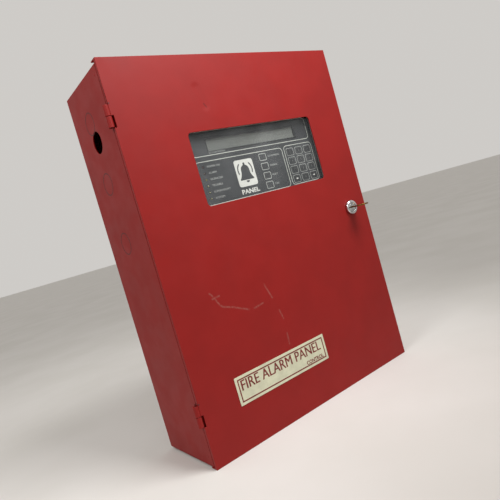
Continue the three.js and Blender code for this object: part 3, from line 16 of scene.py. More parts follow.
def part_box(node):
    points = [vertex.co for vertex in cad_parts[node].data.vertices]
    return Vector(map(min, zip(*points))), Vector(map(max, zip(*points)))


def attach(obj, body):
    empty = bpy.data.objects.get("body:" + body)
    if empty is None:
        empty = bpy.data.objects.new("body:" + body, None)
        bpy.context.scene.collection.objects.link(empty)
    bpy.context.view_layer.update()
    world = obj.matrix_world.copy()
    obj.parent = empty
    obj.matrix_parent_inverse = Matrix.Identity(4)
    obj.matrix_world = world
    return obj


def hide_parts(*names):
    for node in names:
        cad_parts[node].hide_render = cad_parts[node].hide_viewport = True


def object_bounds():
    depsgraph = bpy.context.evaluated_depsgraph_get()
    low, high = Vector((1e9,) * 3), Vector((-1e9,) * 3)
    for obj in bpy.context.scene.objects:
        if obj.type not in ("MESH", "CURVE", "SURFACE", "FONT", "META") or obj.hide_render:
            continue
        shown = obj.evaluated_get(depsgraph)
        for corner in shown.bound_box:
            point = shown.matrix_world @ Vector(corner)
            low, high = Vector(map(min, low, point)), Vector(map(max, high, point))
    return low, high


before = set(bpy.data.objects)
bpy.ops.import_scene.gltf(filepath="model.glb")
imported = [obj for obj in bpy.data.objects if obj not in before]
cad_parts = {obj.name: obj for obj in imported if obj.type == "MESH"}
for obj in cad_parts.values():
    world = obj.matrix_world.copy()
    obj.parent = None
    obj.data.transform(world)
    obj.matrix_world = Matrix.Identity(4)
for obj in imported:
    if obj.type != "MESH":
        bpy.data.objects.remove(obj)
cad_low, cad_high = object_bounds()

MM = 0.001
FULL_TURN = 2 * math.pi

# ---- Camera, floor and lights ----
CAMERA_PLACE = (-426.7, -657.8, 25.1)
CAMERA_AZIMUTH = 35.12  # degrees from straight on, towards the hinge side
CAMERA_ELEVATION = -3.26
CAMERA_ROLL = -16.0
LENS = 35.05
FLOOR_SIZE = 60000
WORLD_COLOUR = (216, 213, 209)
WORLD_STRENGTH = 0.9
LIGHTS = [  # name, place, what it faces, size, power, spread in degrees
    ("key_light", (140, -580, 780), (0, -120, 230), 450, 2.8, 80),
    ("side_light", (-850, -350, 800), (-190, -60, 220), 400, 4.5, 180),
]

# ---- General sizes ----
INK = 0.06  # how far print stands proud
SUNK = 0.03  # how far print and fittings reach into what they sit on
EDGE = 0.4  # bevel on sheet metal
FINE_EDGE = 0.25
SEED = 7

# ---- The cabinet's marks ----
WELD_INSET = 10.7  # from the box's top and bottom
WELD_FROM_FRONT = 14
WELD_PROFILE = [(1.4, -SUNK), (1.3, 0.12), (0.7, 0.3), (0.0, 0.34)]
RELIEF_FROM_AXIS = 3.4
RELIEF_RISE = 14.6
RELIEF_PROFILE = [(0.9, SUNK), (0.9, -0.05), (0.0, -0.06)]
KNOCKOUT_RADIUS = 14.0
KNOCKOUT_DROP = 51
KNOCKOUT_PITCH = 79
KNOCKOUT_FROM_WALL = 56
TOP_KNOCKOUT_PITCH = 90
KNOCKOUT_LINE = 1.1

# ---- The door's label, lock and window nuts ----
LABEL_BORDER = 7  # how much smaller than the label its border is
LABEL_BORDER_CORNER = 0.4
LABEL_LINE = 1.7
LABEL_SIDES = 18
TITLE_DROP = 19.3
TITLE_HEIGHT = 13.4
TITLE_SHIFT = -1
STRIKE = 0.32  # the title is struck twice, this far to each side, for bolder letters
STRIKE_STEP = 0.01
SUBTITLE_FROM_RIGHT = 25
SUBTITLE_RISE = 5.6
SUBTITLE_HEIGHT = 5.6
SUBTITLE_WIDTH = 33
LOCK_RIM = 1.85  # how far the head reaches past the barrel
LOCK_BORE = 6.2
LOCK_DOME = 3.0
LOCK_THREAD_START = 2
LOCK_THREAD_PITCH = 1.0
LOCK_THREAD_DEPTH = 0.55
RETAINER_NUT_INSET = 4.5

# ---- The display's print, from the window's centre ----
CAP_PROUD = 0.4  # the keys' caps before the overlay
LINE = 0.9
FRAME_CORNER = 5.5
OVERLAY_FRAMES = [  # left, right, bottom, top
    (-104.5, 106.8, 17.3, 50.5),
    (-104.5, 47.3, -47.7, 11.1),
    (50.8, 107.8, -47.0, 12.4),
]
LAMP_WORDS = ["POWER ON", "ALARM", "SILENCED", "TROUBLE", "SUPERVISORY", "SYSTEM"]
LAMP_WORDS_SHIFT = (6.2, -1.3)
LAMP_LETTER = (2.5, 2.6)  # width and height
BUTTON_WORDS = ["ACKNOWLEDGE", "SILENCE", "RESET", "TEST"]
BUTTON_WORDS_SHIFT = (9.6, -1.2)
BUTTON_LETTER = (2.0, 2.5)
STATUS_PLACE = (-77, 19.9)
STATUS_SIZE = (25, 2.4)
STATUS_TICK = (-78.0, -77.5, 20, 23.0)
EMBLEM_PLACE = (-27.9, -14.4)
EMBLEM_SIZE = (32.3, 37.5)
EMBLEM_CORNER = 3.4
EMBLEM_WORD_DROP = -43.2
EMBLEM_WORD_SIZE = (31, 6.4)
FILM_WIDTH = 163
FILM_HEIGHT = 20.5
FILM_CORNER = 1.5
FILM_DEPTHS = (0.08, 0.01)  # its front and back before the overlay
BELL_RADIUS = 7.2
BELL_SHOULDER = 4.0
BELL_FLARE = 4.6
BELL_RIM = -8.2
BELL_CLAPPER = 2.8
BELL_ARC_RADII = (11.4, 13.2)
KEY_OUTLINE_GROWTH = (0.2, -0.5)  # from the key's hidden flange to the outline
KEY_OUTLINE_CORNER = 2.3
KEY_OUTLINE_LINE = 0.7
KEY_PATCH_SIZE = (6.6, 5.6)
KEY_PATCH_CORNER = 0.9
BUTTON_OUTLINE_INSET = 2.3  # the hidden flange, and a little of the cap
BUTTON_OUTLINE_CORNER = 1.9
DIGIT_HEIGHT = 3.2
ARROW = [(2.2, 0.0), (0.0, 1.9), (0.0, 0.7), (-2.2, 0.7), (-2.2, -0.7), (0.0, -0.7), (0.0, -1.9)]
LENS_RADIUS = 1.5
LAMP_COLLAR = [(LENS_RADIUS, -5.0), (1.9, -4.9), (1.9, -3.9), (1.5, -3.8), (1.5, -0.1), (0.0, 0.0)]


def srgb(red, green, blue):
    """A linear colour from its usual 0 to 255 values."""
    linear = [((c / 255 + 0.055) / 1.055) ** 2.4 if c > 10 else c / 255 / 12.92 for c in (red, green, blue)]
    return (*linear, 1.0)


# ---- Materials ----


class Surface:
    """One material's nodes. Its methods add nodes and return the socket that carries their result."""

    def __init__(self, name, **constants):
        self.material = bpy.data.materials.new(name)
        self.material.use_nodes = True
        self.tree = self.material.node_tree
        self.tree.nodes.clear()
        self.shader = self.add("ShaderNodeBsdfPrincipled")
        output = self.add("ShaderNodeOutputMaterial")
        self.tree.links.new(self.shader.outputs["BSDF"], output.inputs["Surface"])
        self.place = self.add("ShaderNodeTexCoord").outputs["Object"]
        self.preset(self.shader, constants)

    def add(self, kind, **settings):
        node = self.tree.nodes.new(kind)
        for setting, value in settings.items():
            setattr(node, setting, value)
        return node

    def preset(self, node, values):
        """Sets a node's own sockets, which are named with _ for a space."""
        for socket, value in values.items():
            node.inputs[socket.replace("_", " ")].default_value = value

    def feed(self, socket, value):
        if isinstance(value, bpy.types.NodeSocket):
            self.tree.links.new(value, socket)
        else:
            socket.default_value = value

    def math(self, operation, a, b=0.0, clamp=False):
        node = self.add("ShaderNodeMath", operation=operation, use_clamp=clamp)
        self.feed(node.inputs[0], a)
        self.feed(node.inputs[1], b)
        return node.outputs[0]

    def vector(self, operation, a, b, output=0):
        node = self.add("ShaderNodeVectorMath", operation=operation)
        self.feed(node.inputs[0], a)
        self.feed(node.inputs["Scale" if operation == "SCALE" else 1], b)
        return node.outputs[output]

    def noise(self, size, detail=3.0, stretch=(1.0, 1.0, 1.0)):
        """Noise from 0 to 1, its features about size mm across and pulled out along an axis by stretch."""
        scale = Vector([1 / (size * MM * s) for s in stretch])
        node = self.add("ShaderNodeTexNoise")
        self.feed(node.inputs["Vector"], self.vector("MULTIPLY", self.place, scale))
        self.preset(node, {"Scale": 1.0, "Detail": detail})
        return node.outputs["Fac"]

    def span(self, value, low, high, out_low=0.0, out_high=1.0):
        """Eases from one value to another while the input goes from low to high."""
        node = self.add("ShaderNodeMapRange", interpolation_type="SMOOTHSTEP")
        self.feed(node.inputs["Value"], value)
        self.preset(node, {"From_Min": low, "From_Max": high, "To_Min": out_low, "To_Max": out_high})
        return node.outputs["Result"]

    def patches(self, size, detail=3.0, low=0.3, high=0.7):
        """Soft patches of about the given size in mm, from 0 to 1."""
        return self.span(self.noise(size, detail), low, high)

    def uneven_gloss(self, size, low, high):
        """A roughness that wanders between two values in patches."""
        self.roughness(self.span(self.noise(size), 0.3, 0.7, low, high))

    def mix(self, factor, a, b):
        node = self.add("ShaderNodeMix", data_type="RGBA")
        colours = [socket for socket in node.inputs if socket.type == "RGBA"]
        self.feed(node.inputs[0], factor)
        self.feed(colours[0], a)
        self.feed(colours[1], b)
        return next(socket for socket in node.outputs if socket.type == "RGBA")

    def waves(self, direction, size, distortion=0.0):
        """Bands across a direction. They repeat about every 0.31 of the size in mm."""
        node = self.add("ShaderNodeTexWave", bands_direction=direction)
        self.preset(node, {"Scale": 1 / (size * MM), "Distortion": distortion})
        self.feed(node.inputs["Vector"], self.place)
        return node.outputs["Fac"]

    def gaps(self, offset, **values):
        """The gaps between bricks laid in the XZ plane."""
        node = self.add("ShaderNodeTexBrick", offset=offset)
        turned = self.add("ShaderNodeMapping")
        self.preset(turned, {"Rotation": (math.pi / 2, 0.0, 0.0)})
        self.feed(turned.inputs["Vector"], self.place)
        self.feed(node.inputs["Vector"], turned.outputs["Vector"])
        self.preset(node, values)
        return node.outputs["Fac"]

    def across(self, low, high, out_low=0.0, out_high=1.0):
        """Eases from one value to another along X, between two places in mm."""
        separate = self.add("ShaderNodeSeparateXYZ")
        self.feed(separate.inputs[0], self.place)
        return self.span(separate.outputs["X"], low * MM, high * MM, out_low, out_high)

    def stroke(self, ends):
        """The distance in metres to a line on the door's front, between two (x, z) points in mm."""
        first, last = (Vector((x, DOOR_FRONT, z)) * MM for x, z in ends)
        along = last - first
        from_first = self.vector("SUBTRACT", self.place, first)
        share = self.vector("DOT_PRODUCT", from_first, along / along.length_squared, "Value")
        share = self.math("ADD", share, 0.0, clamp=True)
        return self.vector("DISTANCE", from_first, self.vector("SCALE", along, share), "Value")

    def colour(self, value):
        self.feed(self.shader.inputs["Base Color"], value)

    def roughness(self, value):
        self.feed(self.shader.inputs["Roughness"], value)

    def bump(self, height, depth, below=None):
        """Relief of the given depth in mm, on top of the relief below it."""
        node = self.add("ShaderNodeBump")
        self.preset(node, {"Distance": depth * MM})
        self.feed(node.inputs["Height"], height)
        if below is not None:
            self.feed(node.inputs["Normal"], below)
        self.feed(self.shader.inputs["Normal"], node.outputs["Normal"])
        return node.outputs["Normal"]


def plain(name, colour, roughness, spread=0.12, patch=14, grain=0.5, depth=0.01, **constants):
    """A moulded, printed or plated surface. Its colour strays by spread over patches of the patch
    size, and its gloss and a relief of the given depth follow a fine grain."""
    surface = Surface(name, **constants)
    light = srgb(*[min(255, c * (1 + spread)) for c in colour])
    dark = srgb(*[c * (1 - spread) for c in colour])
    surface.colour(surface.mix(surface.patches(patch), dark, light))
    fine = surface.noise(grain)
    surface.roughness(surface.span(fine, 0.2, 0.8, roughness * 0.85, roughness * 1.15))
    surface.bump(fine, depth)
    return surface.material


def metal(name, colour, roughness, stretch=(1.0, 1.0, 1.0), tarnish=None, grain=0.8, depth=0.006):
    """Bare or plated metal: brushed along an axis, with duller patches where it has tarnished."""
    surface = Surface(name, Metallic=1.0)
    brushed = surface.noise(grain, 4.0, stretch)
    patches = surface.patches(9, low=0.45, high=0.75)
    dull = tarnish or [c * 0.8 for c in colour]
    surface.colour(surface.mix(patches, srgb(*colour), srgb(*dull)))
    uneven = surface.math("ADD", brushed, surface.math("MULTIPLY", patches, 0.5))
    surface.roughness(surface.span(uneven, 0.2, 1.2, roughness * 0.7, roughness * 1.5))
    surface.bump(brushed, depth)
    return surface.material


DOOR_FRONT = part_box("door")[0].y / MM
PAINT = (130, 22, 19)
PAINT_SPECK = (84, 18, 20)
PEEL_SIZE = 1.3
PEEL_DEPTH = 0.012
SCUFF_COLOUR = (150, 118, 108)
SCUFF_CORE = 0.2
SCUFF_REACH = 1.9
SCUFFS = [  # the (x, z) of each pale stroke's ends on the door
    ((-131, -48), (-127, -53)),
    ((-129, -56), (-118, -55)),
    ((-125, -57), (-121, -66)),
    ((-121, -66), (-117, -70)),
    ((-117, -70), (-103, -75)),
    ((-103, -75), (-80, -86)),
    ((-72, -87), (-56, -85)),
    ((-46, -62), (-39, -83)),
    ((-33, -103), (-30, -116)),
    ((-31, -137), (-32, -152)),
]
DENT = ((-64, 211), (-58, 186))
DENT_REACH = 9
DENT_DEPTH = 0.45
NICK = ((-59.5, 189), (-56.5, 184.5))
NICK_COLOUR = (92, 16, 15)
NICK_CORE = 0.3
NICK_REACH = 1.6


def paint(name, worn=False):
    """Satin red powder coat with a faint orange peel. The door's also carries its scuffs and its dent."""
    surface = Surface(name, Specular_IOR_Level=0.22)
    dark, light = (srgb(*[c * share for c in PAINT]) for share in (0.98, 1.02))
    colour = surface.mix(surface.patches(45, 5.0), dark, light)
    specks = surface.patches(2.2, 2.0, 0.74, 0.8)
    colour = surface.mix(surface.math("MULTIPLY", specks, 0.3), colour, srgb(*PAINT_SPECK))
    peel = surface.noise(PEEL_SIZE, 2.0)
    gloss = surface.span(surface.noise(24, 4.0), 0.3, 0.7, 0.46, 0.56)
    relief = None
    if worn:
        broken = surface.span(surface.noise(1.6, 4.0, (1.0, 1.0, 2.0)), 0.28, 0.58)
        nearest = surface.stroke(SCUFFS[0])
        for ends in SCUFFS[1:]:
            nearest = surface.math("MINIMUM", nearest, surface.stroke(ends))
        near = surface.span(nearest, SCUFF_CORE * MM, SCUFF_REACH * MM, 1.0, 0.0)
        scuff = surface.math("MULTIPLY", near, broken)
        colour = surface.mix(surface.math("MULTIPLY", scuff, 0.26), colour, srgb(*SCUFF_COLOUR))
        nicked = surface.span(surface.stroke(NICK), NICK_CORE * MM, NICK_REACH * MM, 0.75, 0.0)
        colour = surface.mix(nicked, colour, srgb(*NICK_COLOUR))
        gloss = surface.math("ADD", gloss, surface.math("MULTIPLY", scuff, 0.2))
        relief = surface.bump(surface.span(surface.stroke(DENT), 0.0, DENT_REACH * MM), DENT_DEPTH)
    surface.colour(colour)
    surface.roughness(gloss)
    surface.bump(peel, PEEL_DEPTH, relief)
    return surface.material


def circuit_board(name):
    """Green solder mask over copper tracks, with a few bare pads."""
    surface = Surface(name, Coat_Weight=0.3, Coat_Roughness=0.12)
    tracks = surface.gaps(0.5, Scale=1 / (12 * MM), Mortar_Size=0.045)
    copper = surface.math("MULTIPLY", tracks, surface.patches(16, 1.0, 0.46, 0.5))
    pads = surface.patches(2.4, 0.0, 0.74, 0.76)
    green = surface.mix(surface.patches(30), srgb(18, 78, 46), srgb(24, 92, 54))
    green = surface.mix(copper, green, srgb(40, 122, 66))
    surface.colour(surface.mix(pads, green, srgb(170, 172, 165)))
    surface.uneven_gloss(5, 0.3, 0.42)
    surface.bump(copper, 0.03)
    return surface.material


def laminations(name):
    """Stacked and varnished steel sheets."""
    surface = Surface(name, Metallic=0.6)
    sheets = surface.waves("Y", 2.2, 0.3)
    surface.colour(surface.mix(sheets, srgb(62, 60, 60), srgb(104, 102, 100)))
    surface.uneven_gloss(3, 0.35, 0.55)
    surface.bump(sheets, 0.08)
    return surface.material


def wound_tape(name):
    """Yellow tape wound round a transformer's coil."""
    surface = Surface(name)
    turns = surface.waves("Z", 26, 1.2)
    surface.colour(surface.mix(turns, srgb(176, 142, 62), srgb(204, 172, 84)))
    surface.uneven_gloss(4, 0.35, 0.5)
    surface.bump(surface.math("ADD", turns, surface.noise(5)), 0.15)
    return surface.material


def flat_cable(name):
    """Grey ribbon cable: a ridge for each wire, with painted shade between the wires and a painted highlight
    on each ridge, and a red edge on the first one.
    """
    surface = Surface(name)
    wires = surface.waves("X", 4.05)
    # painted shade and highlight: the grey is darker between the wires and paler on each ridge
    grey = surface.mix(wires, srgb(128, 130, 132), srgb(172, 174, 176))
    surface.colour(surface.mix(surface.across(-15.9, -15.6, 1.0, 0.0), grey, srgb(168, 34, 30)))
    surface.uneven_gloss(6, 0.4, 0.5)
    surface.bump(wires, 0.3)
    return surface.material


def display_glass(name):
    """An unlit liquid-crystal cell: grey-green with its rows of character cells, and painted light that makes
    it paler towards the lock.
    """
    surface = Surface(name, Coat_Weight=0.4, Coat_Roughness=0.15)
    gaps = surface.gaps(0.0, Scale=1.0, Brick_Width=3.8 * MM, Row_Height=6.2 * MM, Mortar_Size=0.35 * MM)
    # painted light: the grey grows paler from left to right, towards the lock
    grey = surface.mix(surface.across(-70, 95), srgb(186, 192, 184), srgb(206, 212, 204))
    surface.colour(surface.mix(surface.math("MULTIPLY", gaps, 0.25), grey, srgb(150, 156, 149)))
    surface.uneven_gloss(20, 0.3, 0.4)
    return surface.material


def clear_sheet(name, tint, alpha, roughness, smear=(235, 238, 238)):
    """A clear sheet with faint smears."""
    surface = Surface(name, Alpha=alpha, IOR=1.49)
    surface.colour(surface.mix(surface.patches(40, 5.0, 0.35), srgb(*tint), srgb(*smear)))
    surface.roughness(surface.span(surface.noise(18, 4.0), 0.3, 0.7, roughness, roughness * 2.5))
    return surface.material


BOX_PAINT = paint("red_enamel")
DOOR_PAINT = paint("red_enamel_door", worn=True)
ZINC = metal("zinc_plate", (186, 189, 190), 0.32, (1.0, 1.0, 8.0), (160, 160, 152))
STEEL = metal("turned_steel", (150, 152, 155), 0.3)
CHROME = metal("chrome", (214, 216, 218), 0.1, grain=2.0, depth=0.001)
BRASS = metal("brass", (132, 100, 50), 0.32, (1.0, 6.0, 1.0), (82, 62, 36))
SOLDER = metal("tinned_leads", (190, 190, 188), 0.3)
ALUMINIUM_CAN = metal("capacitor_can", (196, 198, 200), 0.28)
OVERLAY = plain("grey_overlay", (54, 56, 58), 0.42, 0.05, 30, 0.35, 0.006, Specular_IOR_Level=0.3)
KEY_PLASTIC = plain("key_plastic", (42, 44, 46), 0.45, 0.06, 6, 0.3, 0.015)
KEY_PATCH = plain("key_patch", (24, 26, 28), 0.5, 0.08, 4, 0.3)
BRIGHT_INK = plain("bright_ink", (184, 188, 180), 0.5, 0.06, 6)
DIM_INK = plain("dim_ink", (158, 162, 158), 0.5, 0.06, 6)
KEY_INK = plain("key_ink", (150, 154, 150), 0.5, 0.06, 6)
DIGIT_INK = plain("digit_ink", (92, 95, 94), 0.5, 0.06, 6)
WHITE_INK = plain("white_ink", (200, 202, 196), 0.5, 0.03, 8)
EMBLEM_INK = plain("emblem_ink", (52, 54, 56), 0.5, 0.06, 5)
CREAM = plain("cream_vinyl", (192, 192, 166), 0.42, 0.035, 12, 0.6, 0.02)
LABEL_INK = plain("label_ink", (104, 26, 22), 0.45, 0.08, 6)
BLACK = plain("black_plastic", (34, 35, 37), 0.45, 0.1, 10)
CHIP = plain("chip_epoxy", (28, 28, 30), 0.5, 0.1, 4, 0.25, 0.02)
# dark knockout rings: partly real cracked paint at the sheared edge, partly painted shade in the groove
SHEARED_EDGE_AND_SHADE = plain("sheared_edge_and_groove_shade", (62, 14, 16), 0.6, 0.25, 3)
# a dark disc of painted shade, put where a relief hole shows only shadow
RELIEF_HOLE_SHADE = plain("painted_relief_hole_shade", (50, 14, 14), 0.7, 0.2, 1)
BATTERY_CASE = plain("battery_case", (62, 66, 74), 0.5, 0.06, 22, 0.6, 0.03)
SLEEVE = plain("capacitor_sleeve", (30, 34, 60), 0.3, 0.06, 12, 2.0, 0.004)
RED_LEAD = plain("red_insulation", (170, 30, 30), 0.4, 0.06, 8)
BLACK_LEAD = plain("black_insulation", (26, 26, 27), 0.4, 0.1, 8)
WHITE_LEAD = plain("white_insulation", (206, 206, 200), 0.4, 0.04, 8)
GREEN_LEAD = plain("green_insulation", (38, 112, 56), 0.4, 0.06, 8)
WHITE_NYLON = plain("white_nylon", (214, 212, 200), 0.5, 0.04, 6)
RELAY_BLUE = plain("relay_case", (40, 74, 128), 0.35, 0.06, 7)
RESISTOR_TAN = plain("resistor_body", (190, 164, 118), 0.5, 0.06, 3)
SWITCH_RED = plain("switch_body", (166, 36, 32), 0.4, 0.06, 5)
LENS_COAT = {"Coat_Weight": 0.6, "Coat_Roughness": 0.08}
RED_LENS = plain("red_lens", (62, 38, 36), 0.25, 0.1, 2, 2.0, 0.004, **LENS_COAT)
GREEN_LENS = plain("green_lens", (108, 104, 60), 0.25, 0.08, 2, 2.0, 0.004, **LENS_COAT)
BOARD = circuit_board("circuit_board")
CORE = laminations("laminations")
TAPE = wound_tape("wound_tape")
RIBBON = flat_cable("flat_cable")
LCD = display_glass("display_glass")
PANE = clear_sheet("clear_acrylic", (120, 124, 126), 0.05, 0.06, (180, 184, 186))
FILM = clear_sheet("smoked_film", (58, 60, 60), 0.3, 0.2, (64, 66, 66))
FUSE_GLASS = clear_sheet("fuse_tube", (226, 232, 234), 0.35, 0.05)


# ---- Shapes, added in mm to a bmesh ----


def circle(radius, count, x=0.0, z=0.0):
    """Points round a circle, as (x, z)."""
    angles = [i * FULL_TURN / count for i in range(count)]
    return [(x + radius * math.cos(a), z + radius * math.sin(a)) for a in angles]


def bridge(bm, row, following):
    """Faces between two rings of vertices that are as long as each other."""
    count = len(row)
    for i in range(count):
        j = (i + 1) % count
        bm.faces.new((row[i], row[j], following[j], following[i]))


def skin(bm, rings, ends="caps"):
    """Joins rings of points into a skin. Its ends get caps, or are joined to each other."""
    rows = [[bm.verts.new(point) for point in ring] for ring in rings]
    for row, following in zip(rows, rows[1:]):
        bridge(bm, row, following)
    if ends == "caps":
        bm.faces.new(rows[0])
        bm.faces.new(rows[-1])
    elif ends == "joined":
        bridge(bm, rows[-1], rows[0])


def add_prism(bm, outline, y0, y1):
    """An (x, z) outline, carried from y0 to y1."""
    skin(bm, [[(x, y, z) for x, z in outline] for y in (y0, y1)])


def add_block(bm, x0, x1, y0, y1, z0, z1):
    add_prism(bm, [(x0, z0), (x1, z0), (x1, z1), (x0, z1)], y0, y1)


def add_frame(bm, outer, inner, y0, y1):
    """The band between two outlines that have as many points as each other."""
    corners = ((outer, y0), (inner, y0), (inner, y1), (outer, y1))
    skin(bm, [[(x, y, z) for x, z in line] for line, y in corners], "joined")


def add_turned(bm, profile, x, y, z, axis="Y", steps=24, ends="caps"):
    """A profile of (radius, height along the axis), turned about the axis through a point."""
    tip = 0.01  # the radius of a profile's end on its axis
    places = {
        "X": lambda a, b, h: (x + h, y + a, z + b),
        "Y": lambda a, b, h: (x + a, y + h, z + b),
        "Z": lambda a, b, h: (x + a, y + b, z + h),
    }
    place = places[axis]
    skin(bm, [[place(a, b, h) for a, b in circle(max(r, tip), steps)] for r, h in profile], ends)


def rounded(width, height, radius, cx=0.0, cz=0.0, steps=4):
    """A rectangle with round corners, as (x, z) points."""
    points = []
    for quarter, (side_x, side_z) in enumerate(((1, 1), (-1, 1), (-1, -1), (1, -1))):
        for i in range(steps + 1):
            angle = (quarter + i / steps) * math.pi / 2
            x = cx + side_x * (width / 2 - radius) + radius * math.cos(angle)
            z = cz + side_z * (height / 2 - radius) + radius * math.sin(angle)
            points.append((x, z))
    return points


def add_outline_frame(bm, size, radius, place, line, y0, y1):
    """A rounded rectangle drawn with a line of the given width, inside its size."""
    width, height = size
    inner_radius = max(radius - line, radius * 0.3)
    inner = rounded(width - 2 * line, height - 2 * line, inner_radius, *place)
    add_frame(bm, rounded(width, height, radius, *place), inner, y0, y1)


def smooth_path(points, steps):
    """A Catmull-Rom curve through the points."""
    spots = [Vector(p) for p in points]
    spots = [2 * spots[0] - spots[1], *spots, 2 * spots[-1] - spots[-2]]
    path = []
    for a, b, c, d in zip(spots, spots[1:], spots[2:], spots[3:]):
        for i in range(steps):
            t = i / steps
            path.append(0.5 * (2 * b + (c - a) * t + (2 * a - 5 * b + 4 * c - d) * t**2
                               + (3 * b - a - 3 * c + d) * t**3))
    path.append(spots[-2])
    return path


def add_tube(bm, points, radius, sides=12, steps=8):
    """A round lead along a smooth path."""
    path = smooth_path(points, steps)
    rings = []
    across = None
    for i, spot in enumerate(path):
        along = (path[min(i + 1, len(path) - 1)] - path[max(i - 1, 0)]).normalized()
        across = along.orthogonal() if across is None else across - along * across.dot(along)
        across.normalize()
        over = along.cross(across)
        rings.append([spot + across * a + over * b for a, b in circle(radius, sides)])
    skin(bm, rings)


def add_text(bm, words, x, z, height, y0, y1, width=None, align="LEFT", bold=0.0):
    """Capitals of the given height standing on z, between y0 and y1, from x or centred on it."""
    curve = bpy.data.curves.new("words", "FONT")
    curve.body = words
    curve.fill_mode = "BOTH"
    curve.extrude = 0.5
    curve.offset = bold
    curve.resolution_u = 3
    holder = bpy.data.objects.new("words", curve)
    bpy.context.scene.collection.objects.link(holder)
    bpy.context.view_layer.update()
    mesh = bpy.data.meshes.new_from_object(holder.evaluated_get(bpy.context.evaluated_depsgraph_get()))
    bpy.data.objects.remove(holder)
    bpy.data.curves.remove(curve)
    low = [min(v.co[i] for v in mesh.vertices) for i in range(2)]
    high = [max(v.co[i] for v in mesh.vertices) for i in range(2)]
    up = height / (high[1] - low[1])
    across = up if width is None else width / (high[0] - low[0])
    shift = (high[0] + low[0]) / 2 if align == "CENTRE" else low[0]
    for vertex in mesh.vertices:
        a, b, depth = vertex.co
        vertex.co = (x + (a - shift) * across, y0 + (0.5 - depth) * (y1 - y0), z + (b - low[1]) * up)
    bm.from_mesh(mesh)
    bpy.data.meshes.remove(mesh)


def add_washer_and_nut(bm, place, radii, depths, steps):
    """A washer and a hexagonal nut on a face at place's y. Their radii are the bore, the washer and
    the nut. Their depths are the washer's end, the nut's start and its end, negative towards the door."""
    x, y, z = place
    bore, washer, nut = radii
    washer_end, nut_start, nut_end = depths
    add_turned(bm, [(bore, 0), (washer, 0), (washer, washer_end), (bore, washer_end)], x, y, z, "Y", steps)
    add_prism(bm, circle(nut, 6, x, z), y + nut_start, y + nut_end)


# ---- Pieces ----


def finish_edges(piece, width):
    """Rounds a piece's edges and shades the rest of it flat."""
    smooth(piece)
    bevel = piece.modifiers.new("edges", "BEVEL")
    bevel.width = width * MM
    bevel.segments = 2
    bevel.limit_method = "ANGLE"
    bevel.angle_limit = math.radians(32)
    bevel.use_clamp_overlap = False
    bevel.harden_normals = True


def smooth(piece):
    for polygon in piece.data.polygons:
        polygon.use_smooth = True


def make_piece(name, bm, material, body="cabinet", replaces=(), edge=0.0, merge=True):
    """Turns a bmesh in mm into a piece that rides on a CAD body."""
    if merge:
        bmesh.ops.remove_doubles(bm, verts=bm.verts, dist=1e-5)
    bmesh.ops.recalc_face_normals(bm, faces=bm.faces)
    bmesh.ops.scale(bm, vec=(MM, MM, MM), verts=bm.verts)
    mesh = bpy.data.meshes.new(name)
    bm.to_mesh(mesh)
    bm.free()
    mesh.materials.append(material)
    piece = bpy.data.objects.new(name, mesh)
    bpy.context.scene.collection.objects.link(piece)
    if edge:
        finish_edges(piece, edge)
    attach(piece, body)
    if replaces:
        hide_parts(*replaces)
    return piece


def dress(node, material, edge):
    """Gives a CAD node its material and finer edges, without touching its mesh."""
    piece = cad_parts[node]
    piece.data.materials.clear()
    piece.data.materials.append(material)
    normals = piece.data.attributes.get("custom_normal")
    if normals:
        piece.data.attributes.remove(normals)
    weld = piece.modifiers.new("weld", "WELD")
    weld.merge_threshold = 0.002 * MM
    planes = piece.modifiers.new("planes", "DECIMATE")
    planes.decimate_type = "DISSOLVE"
    planes.angle_limit = math.radians(0.6)
    finish_edges(piece, edge)


def span_of(node):
    """A node's lowest and highest corners and its middle, in mm."""
    low, high = (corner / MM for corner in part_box(node))
    return low, high, (low + high) / 2


# ---- Cabinet and door ----


def dress_cad_nodes():
    buttons = [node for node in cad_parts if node.startswith(("key_", "function_button_"))]
    finishes = [
        (BOX_PAINT, EDGE, ["back_box"]),
        (DOOR_PAINT, EDGE, ["door"]),
        (ZINC, FINE_EDGE, ["window_retainer", "lock_nut", "lock_cam", "display_bracket", "chassis_plate",
                           "battery_bracket"]),
        (STEEL, FINE_EDGE, ["upper_hinge_pin", "lower_hinge_pin", "lock_cam_screw"]),
        (CHROME, 0.15, ["lock_plug"]),
        (BRASS, FINE_EDGE, ["key", "ground_stud"]),
        (OVERLAY, 0.15, ["faceplate"]),
        (CREAM, 0.12, ["door_label"]),
        (BOARD, 0.1, ["display_board", "main_board", "power_board"]),
        (BLACK, FINE_EDGE, ["lcd_module", "zone_terminal_strip", "relay_terminal_strip", "ac_terminal_block",
                            "fuse_holder", "heat_sink"]),
        (CHIP, 0.15, ["processor_chip"]),
        (LCD, 0.1, ["lcd_glass"]),
        (PANE, 0.3, ["window_pane"]),
        (FUSE_GLASS, 0.2, ["fuse"]),
        (BATTERY_CASE, 1.2, ["battery_left", "battery_right"]),
        (SLEEVE, FINE_EDGE, ["filter_capacitor"]),
        (RIBBON, 0.1, ["ribbon_cable"]),
        (RED_LEAD, 0.1, ["battery_lead_red"]),
        (BLACK_LEAD, 0.1, ["battery_lead_black", "battery_jumper"]),
        (KEY_PLASTIC, 0.2, buttons),
    ]
    for material, edge, nodes in finishes:
        for node in nodes:
            dress(node, material, edge)


